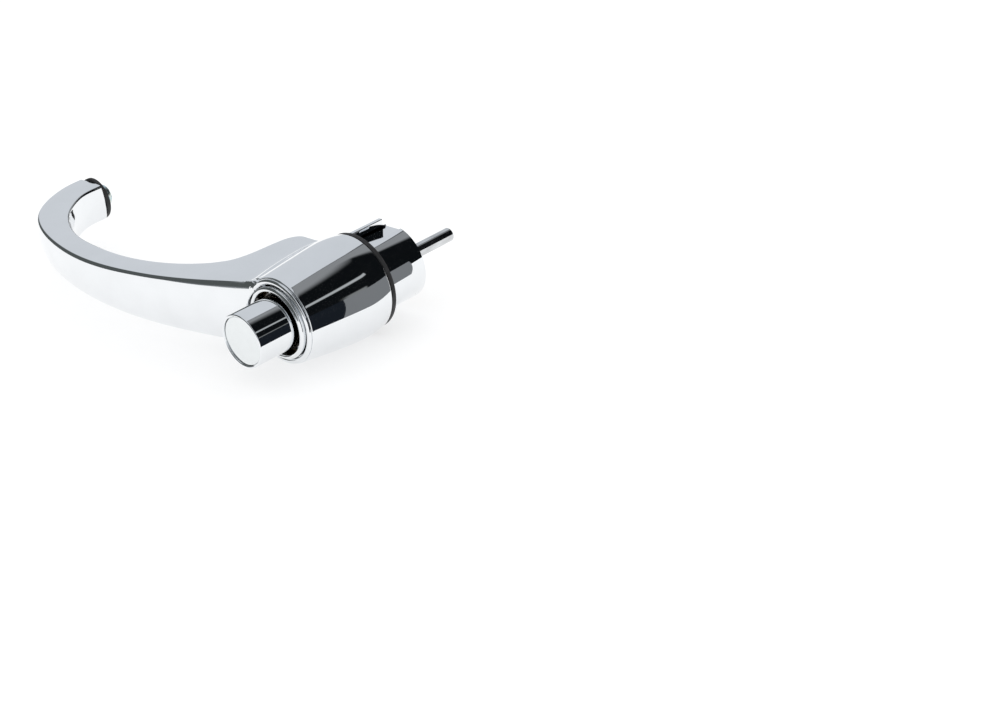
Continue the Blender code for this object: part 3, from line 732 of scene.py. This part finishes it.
def join_pull_to_barrel(lever, barrel, sizes):
    """Fillet between the pull and the barrel; gives back the fillet's normals."""
    for shell in (lever, barrel):
        shell.normal_update()
        bmesh.ops.recalc_face_normals(shell, faces=shell.faces)
        shell.normal_update()
        shell.verts.index_update()
    tree = BVHTree.FromBMesh(lever)
    side = belly_outline(sizes)
    radii, places = [r for r, _ in side], [y for _, y in side]
    step = 0.5 * MM
    nowhere = (1.0, Vector((0.0, 0.0, 1.0)))

    def off_barrel(point):
        if not NOSE_Y < point.y <= FACE_Y:
            return nowhere
        r = math.hypot(point.x, point.z)
        ahead = float(np.interp(point.y + step, places, radii))
        behind = float(np.interp(point.y - step, places, radii))
        out = Vector((point.x / r, (behind - ahead) / (2 * step), point.z / r)).normalized()
        return r - float(np.interp(point.y, places, radii)), out

    def off_lever(point):
        if point.y < BELLY_Y or point.x > 0.0:
            return nowhere
        near, face_out, _, distance = tree.find_nearest(point)
        beside = abs(point.z) > sizes.root_half_height + sizes.crown
        side_of_face = 1.0 if beside else math.copysign(1.0, (point - near).dot(face_out))
        out = (point - near) * side_of_face
        out = out.normalized() if distance > 0.05 * MM else face_out.copy()
        return distance * side_of_face, out

    lever_out = [vert.normal.copy() for vert in lever.verts]
    barrel_out = [vert.normal.copy() for vert in barrel.verts]
    barrel_facing = soften(barrel, barrel_out, off_lever, sizes.blend_reach)
    lever_facing = soften(lever, lever_out, off_barrel, sizes.blend_reach)
    first = len(lever.verts)
    lever_facing.update({first + index: out for index, out in barrel_facing.items()})
    return lever_facing


def set_facing(item, facing):
    """Give some of a piece's points their own normals; the others keep theirs."""
    mesh = item.data
    normals = [(0.0, 0.0, 0.0)] * len(mesh.loops)
    for loop in mesh.loops:
        if loop.vertex_index in facing:
            normals[loop.index] = tuple(facing[loop.vertex_index])
    mesh.normals_split_custom_set(normals)


def walled(outline, front, rear, edge):
    """A length of the shank: an outline round the bore, its rear edge rounded."""
    angles = [math.atan2(z, x) for x, z in outline]
    inside = [(BORE_R * math.cos(a), BORE_R * math.sin(a)) for a in angles]

    def ring(points, y, inset=0.0):
        out = []
        for x, z in points:
            keep = 1.0 - inset / math.hypot(x, z)
            out.append((x * keep, y, z * keep))
        return out

    return loft([
        ring(inside, front), ring(outline, front), ring(outline, rear - edge),
        ring(outline, rear - 0.3 * edge, 0.3 * edge), ring(outline, rear, edge),
        ring(inside, rear, -0.5 * edge), ring(inside, rear - 0.5 * edge),
    ], closed=True)


def shank_shells(sizes):
    """The tube behind the gasket with its flat, its blade and the boss."""
    r, edge = sizes.shank_r, 0.35 * MM
    start, root_end, blade_end = FACE_Y - SUNK, BASE_Y + 1.0 * MM, REAR_Y - 1.2 * MM
    lean = math.degrees(math.asin(FLAT_HALF_WIDTH / r))
    plain = arc((0.0, 0.0), r, 0, 357, 119)
    flatted = arc((0.0, 0.0), r, 90 + lean, 450 - lean, 116)
    flatted += [(FLAT_HALF_WIDTH, FLAT_Z), (-FLAT_HALF_WIDTH, FLAT_Z)]
    inside = tube(BORE_R, BORE_R + 1.0 * MM, BEZEL_SEAT_Y + GAP, FACE_Y - 2.0 * MM, 0.0)
    foot = (-BLADE_FAR_X, start, BLADE_FOOT_Z)
    return [
        turned(inside),
        walled(plain, start, root_end, 0.01 * MM),
        walled(flatted, root_end, REAR_Y, edge),
        block(foot, (-BLADE_ROOT_X, root_end, BLADE_TOP_Z), edge),
        block(foot, (-FLAT_HALF_WIDTH, blade_end, BLADE_TOP_Z), edge),
        block((BOSS_END_X, start, -BOSS_HALF_WIDTH),
              (BOSS_INNER_X, BASE_Y + 1.6 * MM, BOSS_HALF_WIDTH), 0.5 * MM),
    ]


class HANDLE_OT_casting(bpy.types.Operator):
    """Make the polished casting: pull, barrel, shank, blade and boss"""

    bl_idname = "handle.casting"
    bl_label = "Casting"

    def execute(self, context):
        sizes = context.scene.handle_sizes
        lever, barrel = lever_shell(sizes), barrel_shell(sizes)
        facing = join_pull_to_barrel(lever, barrel, sizes)
        shells = merged([lever, barrel] + shank_shells(sizes))
        casting = piece("casting", shells, "chrome", "handle", ["handle_casting"])
        set_facing(casting, facing)
        return {"FINISHED"}


class HANDLE_OT_bezel(bpy.types.Operator):
    """Make the bright lip pressed into the barrel's mouth"""

    bl_idname = "handle.bezel"
    bl_label = "Mouth bezel"

    def execute(self, context):
        mouth_r = high("nose_bezel", "x") - 1.8 * MM
        crown_y, lip = MOUTH_Y, 0.85 * MM
        outline = [(mouth_r, BEZEL_SEAT_Y)]
        outline += arc((mouth_r + lip, crown_y + lip), lip, 180, 300, 14)
        outline += arc((BEZEL_R - 0.6 * MM, crown_y + 1.0 * MM), 0.6 * MM, -60, 0, 7)
        outline += [(BEZEL_R, BEZEL_SEAT_Y)]
        piece("mouth_bezel", turned(outline), "bezel", "handle", ["nose_bezel"])
        return {"FINISHED"}


# ---- Button, plunger and rod

class HANDLE_OT_button(bpy.types.Operator):
    """Make the chromed cap and the disc inside its rim"""

    bl_idname = "handle.button"
    bl_label = "Button"

    def execute(self, context):
        sizes = context.scene.handle_sizes
        r, flange_r = sizes.button_r, high("button_cap", "x")
        inner, foot = r - 1.0 * MM, FLANGE_REAR_Y
        disc_r, ledge = r - sizes.rim_width, BUTTON_Y + 1.6 * MM
        flange_y = foot - 1.0 * MM
        rim = (r - disc_r) / 2
        cup = [(inner, foot), (flange_r - 0.2 * MM, foot), (flange_r, foot - 0.2 * MM)]
        cup += [(flange_r, flange_y + 0.2 * MM), (flange_r - 0.2 * MM, flange_y)]
        cup += arc((r + 0.4 * MM, flange_y - 0.4 * MM), 0.4 * MM, 90, 180, 5)
        cup += arc((r - rim, BUTTON_Y + rim), rim, 0, -180, 18)
        cup += [(disc_r, ledge), (disc_r - 1.6 * MM, ledge), (disc_r - 1.6 * MM, ledge + 1.0 * MM),
                (inner, ledge + 2.0 * MM)]
        piece("button_shell", turned(cup), "chrome", "button", ["button_cap"])
        edge_r, front = disc_r - 0.18 * MM, BUTTON_Y + 0.5 * MM
        dome = 0.12 * MM
        disc = [(0.0, ledge - GAP), (edge_r, ledge - GAP)]
        disc += arc((edge_r - 0.25 * MM, front + 0.25 * MM + dome), 0.25 * MM, 0, -90, 5)
        face = 14
        disc += [((edge_r - 0.25 * MM) * (1 - t), front + dome * (1 - t) ** 2)
                 for t in [i / face for i in range(1, face + 1)]]
        piece("button_disc", turned(disc), "disc", "button", ["button_face_disc"])
        return {"FINISHED"}


def key_places():
    """Angles round the barrel of the plunger's keys."""
    return [math.tau * (i + 0.25) / KEY_COUNT for i in range(KEY_COUNT)]


def radial_block(inner_r, outer_r, half_width, front, rear, angle, edge):
    """A rounded box that stands out from the barrel's axis at an angle."""
    box = block((inner_r, front, -half_width), (outer_r, rear, half_width), edge)
    turn = Matrix.Rotation(-angle, 3, "Y")
    bmesh.ops.rotate(box, verts=box.verts, cent=(0.0, 0.0, 0.0), matrix=turn)
    return box


class HANDLE_OT_plunger(bpy.types.Operator):
    """Make the guide body behind the button, with its keys, seal and cross pin"""

    bl_idname = "handle.plunger"
    bl_label = "Plunger"

    def execute(self, context):
        front, rear = FLANGE_REAR_Y + GAP, high("button_plunger", "y")
        spigot_y = low("button_plunger", "y")
        spigot_r = context.scene.handle_sizes.button_r - SLEEVE_WALL - GAP
        body_r = high("barrel_sleeve", "x") - SLEEVE_WALL - GAP
        groove_y, groove, deep = front + 2.4 * MM, 2.0 * MM, 1.5 * MM
        corners = [(0.0, spigot_y), (spigot_r, spigot_y), (spigot_r, front), (body_r, front),
                   (body_r, groove_y), (body_r - deep, groove_y), (body_r - deep, groove_y + groove),
                   (body_r, groove_y + groove), (body_r, rear), (ROD_R + GAP, rear),
                   (ROD_R + GAP, ROD_FRONT_Y - GAP), (0.0, ROD_FRONT_Y - GAP)]
        radii = [0.0, 0.6 * MM, 0.2 * MM] + [0.3 * MM] * 6 + [0.3 * MM, 0.1 * MM, 0.0]
        shells = [turned(rounded(corners, radii))]
        for angle in key_places():
            shells.append(radial_block(body_r - 2.0 * MM, body_r + 1.1 * MM, KEY_HALF_WIDTH,
                                       rear - KEY_LENGTH, rear, angle, 0.25 * MM))
        piece("plunger_body", merged(shells), "steel", "button", ["button_plunger"])
        seal_r = 0.6 * MM
        ring = arc((body_r - deep + GAP + seal_r, groove_y + groove / 2), seal_r, 0, 337.5, 15)
        piece("plunger_o_ring", turned(ring), "rubber", "button", ["plunger_seal"])
        pin_low, pin_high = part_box("cross_pin")
        pin = turned(bar(radius_of("cross_pin"), pin_low.z, pin_high.z, 0.3 * MM), 40)
        for vert in pin.verts:
            vert.co = Vector((vert.co.x, (pin_low.y + pin_high.y) / 2 + vert.co.z, vert.co.y))
        piece("rod_pin", pin, "steel", "button", ["cross_pin"])
        return {"FINISHED"}


class HANDLE_OT_rod(bpy.types.Operator):
    """Make the rod that the button pushes into the latch"""

    bl_idname = "handle.rod"
    bl_label = "Push rod"

    def execute(self, context):
        centre_r = 0.7 * MM
        outline = [(0.0, ROD_FRONT_Y), (ROD_R - 0.2 * MM, ROD_FRONT_Y), (ROD_R, ROD_FRONT_Y + 0.2 * MM)]
        outline += arc((ROD_R - 0.6 * MM, ROD_REAR_Y - 0.6 * MM), 0.6 * MM, 0, 90, 8)
        outline += [(centre_r, ROD_REAR_Y), (centre_r * 0.8, ROD_REAR_Y - 0.25 * MM),
                    (0.0, ROD_REAR_Y - 0.8 * MM)]
        piece("push_rod", turned(outline, 96), "steel", "button", ["plunger_rod"])
        return {"FINISHED"}


class HANDLE_OT_sleeve(bpy.types.Operator):
    """Finish the lining of the bore, with its keyways"""

    bl_idname = "handle.sleeve"
    bl_label = "Bore lining"

    def execute(self, context):
        # a whole ring in front, and staves behind it with the keyways between them
        front, rear = low("barrel_sleeve", "y"), high("barrel_sleeve", "y")
        outer = high("barrel_sleeve", "x")
        inner = outer - SLEEVE_WALL
        split = high("button_plunger", "y") - KEY_LENGTH - GAP
        shells = [turned(tube(inner, outer, front, split, 0.12 * MM))]
        half = (KEY_HALF_WIDTH + GAP) / inner
        steps = context.scene.handle_sizes.segments // KEY_COUNT
        for angle in key_places():
            stave = tube(inner, outer, split - 0.2 * MM, rear, 0.12 * MM)
            sweep = math.tau / KEY_COUNT - 2 * half
            shells.append(turned(stave, steps, (0.0, 0.0), angle + half, sweep))
        piece("bore_lining", merged(shells), "bronze", "handle", ["barrel_sleeve"])
        return {"FINISHED"}


# ---- Spring and rear guide

class HANDLE_OT_spring(bpy.types.Operator):
    """Make the return spring, with its closed end turns"""

    bl_idname = "handle.spring"
    bl_label = "Return spring"

    def execute(self, context):
        sizes = context.scene.handle_sizes
        wire, turns = sizes.wire_r, sizes.spring_turns
        front, rear = low("return_spring", "y") + wire, high("return_spring", "y") - wire
        coil_r = high("return_spring", "x") - wire
        per_turn, sides = 36, 12
        count, dead = int(turns * per_turn), per_turn
        back = Vector((0.0, 1.0, 0.0))
        loops = []
        for i in range(count + 1):
            angle = math.tau * i / per_turn
            along = min(max((i - dead / 2) / (count - dead), 0.0), 1.0)
            out = Vector((math.cos(angle), 0.0, math.sin(angle)))
            centre = out * coil_r + back * (front + (rear - front) * along)
            loops.append([
                centre + (out * math.cos(round_wire) + back * math.sin(round_wire)) * wire
                for round_wire in [math.tau * k / sides for k in range(sides)]
            ])
        coil = piece("coil_spring", loft(loops), "steel", "handle", ["return_spring"], sharp=60.0)
        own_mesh(coil)
        return {"FINISHED"}


class HANDLE_OT_rear_guide(bpy.types.Operator):
    """Make the rear bush, its rod seal, the spring's seat and the circlip"""

    bl_idname = "handle.rear_guide"
    bl_label = "Rear guide"

    def execute(self, context):
        front, rear = low("rear_bush", "y"), high("rear_bush", "y")
        outer, hole = high("rear_bush", "x"), ROD_R + GAP
        groove_r, groove_y, half = hole + 1.5 * MM, (front + rear) / 2, 1.0 * MM
        corners = [(hole, front), (outer, front), (outer, rear), (outer - 3.4 * MM, rear),
                   (outer - 3.9 * MM, rear - 0.5 * MM), (hole + 2.6 * MM, rear - 0.5 * MM),
                   (hole + 2.1 * MM, rear), (hole, rear), (hole, groove_y + half),
                   (groove_r, groove_y + half), (groove_r, groove_y - half), (hole, groove_y - half)]
        radii = [0.2 * MM, 0.4 * MM] + [0.2 * MM] * 5 + [0.35 * MM] + [0.1 * MM] * 4
        piece("guide_bush", turned(rounded(corners, radii)), "brass", "handle", ["rear_bush"])
        ring_r, thick = (groove_r + ROD_R) / 2, (groove_r - ROD_R) / 2 - GAP
        ring = arc((ring_r, groove_y), thick, 0, 337.5, 15)
        piece("rod_o_ring", turned(ring, 72), "rubber", "handle", ["rod_seal"])
        seat_low, seat_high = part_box("spring_seat")
        seat = tube(hole + 0.5 * MM, seat_high.x, seat_low.y, seat_high.y, 0.15 * MM)
        piece("spring_washer", turned(seat), "steel", "handle", ["spring_seat"])
        clip_low, clip_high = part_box("bush_circlip")
        opening = 50.0
        band = tube(BORE_R - 2.0 * MM, clip_high.x, clip_low.y, clip_high.y, 0.12 * MM)
        start, sweep = math.radians(opening / 2 - 90), math.radians(360 - opening)
        shells = [turned(band, 110, (0.0, 0.0), start, sweep)]
        for side in (-1, 1):
            angle = math.radians(-90 + side * (opening / 2 + 4))
            shells.append(radial_block(BORE_R - 4.6 * MM, BORE_R - 1.4 * MM, 1.6 * MM,
                                       clip_low.y, clip_high.y, angle, 0.15 * MM))
        piece("retaining_ring", merged(shells), "steel", "handle", ["bush_circlip"])
        return {"FINISHED"}


# ---- Gaskets, screws and lock washers

def keyhole_outlines():
    """Outside and opening of the big gasket, as closed (x, z) outlines."""
    neck, corner = 11.3 * MM, 3.2 * MM
    lean = math.degrees(math.asin(0.52))
    outside = arc((0.0, 0.0), GASKET_R, -180 + lean, 180 - lean, 96)
    outside += arc((corner - NECK_REACH, neck - corner), corner, 90, 180, 10)
    outside += arc((corner - NECK_REACH, corner - neck), corner, 180, 270, 10)
    hole_r = bpy.context.scene.handle_sizes.shank_r + GAP
    slot, top = BOSS_HALF_WIDTH + GAP, BLADE_TOP_Z + GAP
    near, far = BLADE_ROOT_X - GAP, BLADE_FAR_X + GAP
    slot_lean = math.degrees(math.asin(slot / hole_r))
    near_lean = math.degrees(math.asin(near / hole_r))
    far_lean = math.degrees(math.asin(far / hole_r))
    end_x, bend = BOSS_END_X + GAP, 0.6 * MM
    opening = arc((0.0, 0.0), hole_r, -180 + slot_lean, 90 + near_lean, 76)
    below = top - 1.0 * MM
    opening += rounded([(-near, below), (-near, top), (-far, top), (-far, below)],
                       [0.0, 0.5 * MM, 0.5 * MM, 0.0])
    opening += arc((0.0, 0.0), hole_r, 90 + far_lean, 180 - slot_lean, 20)
    opening += arc((end_x, slot - bend), bend, 90, 180, 5)
    opening += arc((end_x, bend - slot), bend, 180, 270, 5)
    return outside, opening


def sheet_plate(outside, opening, front, rear, edge):
    """A flat plate cut from a sheet, with its cut edges broken."""
    plate = bmesh.new()
    rims = []
    for path in (outside, opening):
        verts = [plate.verts.new((x, front, z)) for x, z in path]
        rims += [plate.edges.new((vert, verts[(i + 1) % len(verts)])) for i, vert in enumerate(verts)]
    bmesh.ops.triangle_fill(plate, edges=rims, use_beauty=True)
    lid = bmesh.ops.extrude_face_region(plate, geom=plate.faces[:])
    moved = [part for part in lid["geom"] if isinstance(part, bmesh.types.BMVert)]
    bmesh.ops.translate(plate, verts=moved, vec=(0.0, rear - front, 0.0))
    plate.normal_update()
    bmesh.ops.recalc_face_normals(plate, faces=plate.faces)
    turn = math.radians(60)
    corners = [e for e in plate.edges if len(e.link_faces) == 2 and e.calc_face_angle(0.0) > turn
               and abs(e.verts[0].co.y - e.verts[1].co.y) < 1e-6]
    bmesh.ops.bevel(plate, geom=corners, offset=edge, segments=2, profile=0.5, affect="EDGES")
    return plate


class HANDLE_OT_gaskets(bpy.types.Operator):
    """Make the keyhole gasket under the barrel and the round one under the tip"""

    bl_idname = "handle.gaskets"
    bl_label = "Gaskets"

    def execute(self, context):
        front, rear = low("barrel_gasket", "y"), high("barrel_gasket", "y")
        plate = sheet_plate(*keyhole_outlines(), front, rear, 0.25 * MM)
        piece("keyhole_gasket", plate, "rubber", "handle", ["barrel_gasket"])
        outline = tube(3.1 * MM, radius_of("tip_gasket"), front, rear, 0.4 * MM)
        piece("round_gasket", turned(outline, 96, (TIP_X, 0.0)), "rubber", "handle", ["tip_gasket"])
        return {"FINISHED"}


def screw_shells(x, node):
    """A pan-head screw without its recess: plain shank and domed head."""
    shank_end, crown = low(node, "y"), high(node, "y")
    head_r = radius_of(node)
    thread_r, head_y = 2.1 * MM, crown - 3.1 * MM
    dome = arc((head_r - 1.5 * MM, head_y + 1.6 * MM), 1.5 * MM, 0, 62, 10)
    top_r, top_y = dome[-1]
    recess_r, recess_y = 2.5 * MM, crown - 0.05 * MM
    crown_line = [
        (top_r - (top_r - recess_r) * t, top_y + (recess_y - top_y) * math.sin(t * math.pi / 2))
        for t in (0.25, 0.5, 0.75, 1.0)
    ]
    outline = [(0.0, shank_end), (thread_r - 0.5 * MM, shank_end), (thread_r, shank_end + 0.5 * MM),
               (thread_r, head_y), (head_r - 0.25 * MM, head_y), (head_r, head_y + 0.25 * MM)]
    outline += dome + crown_line + [(0.0, recess_y)]
    return turned(outline, 96, (x, 0.0))


def cut_cross(screw, x, node):
    """Sink the cross recess into a screw's head."""
    crown = high(node, "y")
    for turn in (0.0, math.pi / 2):
        cutter = bmesh.new()
        bmesh.ops.create_cube(cutter, size=1.0)
        for vert in cutter.verts:
            deep = vert.co.y < 0.0
            reach, half = (1.2 * MM, 0.3 * MM) if deep else (2.6 * MM, 0.62 * MM)
            y = crown - 1.8 * MM if deep else crown + 0.4 * MM
            vert.co = Vector((math.copysign(reach, vert.co.x), y, math.copysign(half, vert.co.z)))
        quarter = Matrix.Rotation(turn, 3, "Y")
        bmesh.ops.rotate(cutter, verts=cutter.verts, cent=(0.0, 0.0, 0.0), matrix=quarter)
        bmesh.ops.translate(cutter, verts=cutter.verts, vec=(x, 0.0, 0.0))
        tool = placed("cross_cutter", to_mesh("cross_cutter", cutter))
        boolean = screw.modifiers.new("cross", "BOOLEAN")
        boolean.operation = "DIFFERENCE"
        boolean.object = tool
        seen = bpy.context.evaluated_depsgraph_get()
        result = bpy.data.meshes.new_from_object(screw.evaluated_get(seen))
        screw.modifiers.remove(boolean)
        screw.data = result
        bpy.data.objects.remove(tool, do_unlink=True)
    screw.data.shade_smooth()
    screw.data.set_sharp_from_angle(angle=math.radians(32))


def split_washer(x, node):
    """A spring lock washer: a square wire turned once, its ends sprung apart."""
    outer, inner, steps = radius_of(node), 2.45 * MM, 90
    lift = 0.12 * MM
    front, rear = low(node, "y"), high(node, "y")
    thick = rear - front - lift
    loops = []
    for i in range(steps + 1):
        t = i / steps
        angle = math.radians(8 + 344 * t)
        y = front + lift * t
        square = [(inner, y), (outer, y), (outer, y + thick), (inner, y + thick)]
        corners = rounded(square, 0.15 * MM, 3)
        loops.append([(x + r * math.cos(angle), y0, r * math.sin(angle)) for r, y0 in corners])
    return loft(loops)


class HANDLE_OT_fixings(bpy.types.Operator):
    """Make the two pan-head screws and their lock washers"""

    bl_idname = "handle.fixings"
    bl_label = "Screws and lock washers"

    def execute(self, context):
        for which, x in (("root", ROOT_SCREW_X), ("tip", TIP_X)):
            node = which + "_screw"
            screw = piece(which + "_pan_screw", screw_shells(x, node), "zinc", "handle", [node])
            cut_cross(screw, x, node)
            ring = which + "_lock_washer"
            piece(which + "_split_washer", split_washer(x, ring), "steel", "handle", [ring])
        return {"FINISHED"}


# ---- Studio

# Dark cards and grey windows of the tent, as they lie in the sky: azimuth from
# and to, elevation from and to, how soft the edges are and how far the left and
# right edges lean for each degree up (all in degrees), and the colour of light.
TENT_CARDS = [
    ("hall behind the camera", (-215.0, -72.0), (-1.0, 62.0), 5.0, 0.0, (0.085, 0.095, 0.095)),
    ("hall, past the seam", (145.0, 215.0), (-1.0, 62.0), 5.0, 0.0, (0.085, 0.095, 0.095)),
    ("line round the flag", (-20.0, 104.0), (-95.0, 73.0), 0.7, 0.55, (0.05, 0.055, 0.06)),
    ("margin of the flag", (-18.2, 104.0), (-95.0, 71.4), 0.7, 0.55, (0.26, 0.27, 0.28)),
    ("big flag", (2.0, 104.0), (-95.0, 60.0), 5.0, 0.55, (0.004, 0.005, 0.006)),
    ("window in the flag", (50.0, 76.0), (28.8, 33.2), 1.0, 0.0, (0.42, 0.44, 0.45)),
    ("pale strip in the flag", (60.0, 67.0), (-95.0, 12.0), 1.5, 0.0, (0.20, 0.21, 0.21)),
]
TENT_SKY = (0.66, 0.69, 0.73)
FLAG_TILT_AT = 35.0                  # elevation at which a leaning edge is at its azimuth

# Upright cards on the floor: both ends, the height of the top, and the light.
LOW_FLAGS = [
    ("dark_flag", (0.058, -0.060), (0.058, -0.008), 0.013, (0.010, 0.013, 0.018)),
    ("grey_flag", (0.058, -0.008), (0.050, 0.060), 0.013, (0.20, 0.21, 0.22)),
]
EVEN_LIGHT = 1.12                    # strength of the tent on matt surfaces
CAMERA_PLACE = (0.5581, -0.4639, 0.3238)
CAMERA_RIGHT = (0.72426, 0.68051, -0.11119)
CAMERA_UP = (-0.23669, 0.39682, 0.88685)
CAMERA_BACK = (0.64763, -0.61599, 0.44847)
CAMERA_LENS = 75.7
FLOOR_HALF_SIDE = 6.0


def studio_world():
    """A white tent with dark cards. It lights matt surfaces evenly, and only
    mirrors see its cards."""
    world = bpy.data.worlds.new("studio_tent")
    bpy.context.scene.world = world
    world.use_nodes = True
    tree = world.node_tree

    def maths(operation, *values):
        return node(tree, "Math", dict(enumerate(values)), operation=operation).outputs[0]

    def edge(value, middle, soft):
        """0 below middle and 1 above it, or the other way round if soft is negative."""
        inputs = {"Value": value, "From Min": middle - abs(soft), "From Max": middle + abs(soft)}
        if soft < 0.0:
            inputs.update({"To Min": 1.0, "To Max": 0.0})
        return node(tree, "MapRange", inputs, interpolation_type="SMOOTHSTEP").outputs["Result"]

    place = node(tree, "TexCoord").outputs["Generated"]
    split = node(tree, "SeparateXYZ", {0: place})
    radians = maths("ARCTAN2", split.outputs["X"], split.outputs["Y"])
    azimuth = maths("MULTIPLY", radians, math.degrees(1.0))
    elevation = maths("MULTIPLY", maths("ARCSINE", split.outputs["Z"]), math.degrees(1.0))
    light = (*TENT_SKY, 1.0)
    for _, (left, right), (bottom, top), soft, lean, shade in TENT_CARDS:
        leaning = maths("MULTIPLY", maths("SUBTRACT", elevation, FLAG_TILT_AT), lean)
        across = maths("SUBTRACT", azimuth, leaning)
        mask = maths("MULTIPLY", edge(across, left, soft), edge(across, right, -soft))
        mask = maths("MULTIPLY", mask, edge(elevation, bottom, soft))
        mask = maths("MULTIPLY", mask, edge(elevation, top, -soft))
        colours = {"Factor": mask, 6: light, 7: (*shade, 1.0)}
        light = node(tree, "Mix", colours, data_type="RGBA").outputs[2]
    even = tree.nodes["Background"]
    even.inputs["Color"].default_value = (1.0, 1.0, 1.0, 1.0)
    even.inputs["Strength"].default_value = EVEN_LIGHT
    mirrored = node(tree, "Background", {"Color": light})
    glossy = node(tree, "LightPath").outputs["Is Glossy Ray"]
    either = node(tree, "MixShader", {"Fac": glossy, 1: even.outputs[0], 2: mirrored.outputs[0]})
    tree.links.new(either.outputs[0], tree.nodes["World Output"].inputs["Surface"])


def low_flag(name, start, end, top_z, bottom_z, shade):
    """An upright card on the floor beside the barrel. Only mirrors see it."""
    corners = [(*start, bottom_z), (*end, bottom_z), (*end, top_z), (*start, top_z)]
    mesh = bpy.data.meshes.new(name)
    mesh.from_pydata(corners, [], [(0, 1, 2, 3)])
    paint, shader = new_finish(name, (0.0, 0.0, 0.0), 0.0, 0.5)
    shader.inputs["Specular IOR Level"].default_value = 0.0
    shader.inputs["Emission Color"].default_value = (*shade, 1.0)
    shader.inputs["Emission Strength"].default_value = 1.0
    mesh.materials.append(paint)
    card = placed(name, mesh)
    card.visible_camera = card.visible_diffuse = card.visible_shadow = False
    card.visible_transmission = card.visible_volume_scatter = False
    card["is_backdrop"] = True


class HANDLE_OT_stage(bpy.types.Operator):
    """Make the floor, the light and the camera"""

    bl_idname = "handle.stage"
    bl_label = "Studio"

    def execute(self, context):
        floor_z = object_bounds()[0].z - 0.1 * MM
        paper = bmesh.new()
        bmesh.ops.create_grid(paper, x_segments=8, y_segments=8, size=FLOOR_HALF_SIDE)
        mesh = bpy.data.meshes.new("studio_floor")
        paper.to_mesh(mesh)
        paper.free()
        mesh.materials.append(finish_of("floor"))
        floor = placed("studio_floor", mesh)
        floor.location = (0.0, 0.0, floor_z)
        floor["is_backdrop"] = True
        studio_world()
        for name, start, end, top_z, shade in LOW_FLAGS:
            low_flag(name, start, end, top_z, floor_z, shade)
        lens = bpy.data.cameras.new("studio_camera")
        lens.lens = CAMERA_LENS
        lens.clip_start, lens.clip_end = 0.01, 50.0
        camera = placed("studio_camera", lens)
        camera.location = CAMERA_PLACE
        axes = Matrix((CAMERA_RIGHT, CAMERA_UP, CAMERA_BACK))
        camera.rotation_euler = axes.transposed().to_euler()
        context.scene.camera = camera
        context.scene.view_settings.view_transform = "Standard"
        return {"FINISHED"}


class HANDLE_PT_panel(bpy.types.Panel):
    """Pieces of the door handle"""

    bl_label = "Door handle"
    bl_idname = "HANDLE_PT_panel"
    bl_space_type = "VIEW_3D"
    bl_region_type = "UI"
    bl_category = "Handle"

    def draw(self, context):
        for operator in OPERATORS:
            self.layout.operator(operator.bl_idname)
        for group in (context.scene.handle_sizes, context.scene.handle_finishes):
            box = self.layout.box()
            for name in group.__annotations__:
                box.prop(group, name)


OPERATORS = [
    HANDLE_OT_casting, HANDLE_OT_bezel, HANDLE_OT_button, HANDLE_OT_plunger, HANDLE_OT_rod,
    HANDLE_OT_sleeve, HANDLE_OT_spring, HANDLE_OT_rear_guide, HANDLE_OT_gaskets, HANDLE_OT_fixings,
    HANDLE_OT_stage,
]
CLASSES = [HANDLE_PG_sizes, HANDLE_PG_finishes, *OPERATORS, HANDLE_PT_panel]


def register():
    for cls in CLASSES:
        bpy.utils.register_class(cls)
    bpy.types.Scene.handle_sizes = PointerProperty(type=HANDLE_PG_sizes)
    bpy.types.Scene.handle_finishes = PointerProperty(type=HANDLE_PG_finishes)


def unregister():
    del bpy.types.Scene.handle_finishes
    del bpy.types.Scene.handle_sizes
    for cls in reversed(CLASSES):
        bpy.utils.unregister_class(cls)


def main():
    register()
    for operator in OPERATORS:
        group, name = operator.bl_idname.split(".")
        getattr(getattr(bpy.ops, group), name)()


if __name__ == "__main__":
    main()
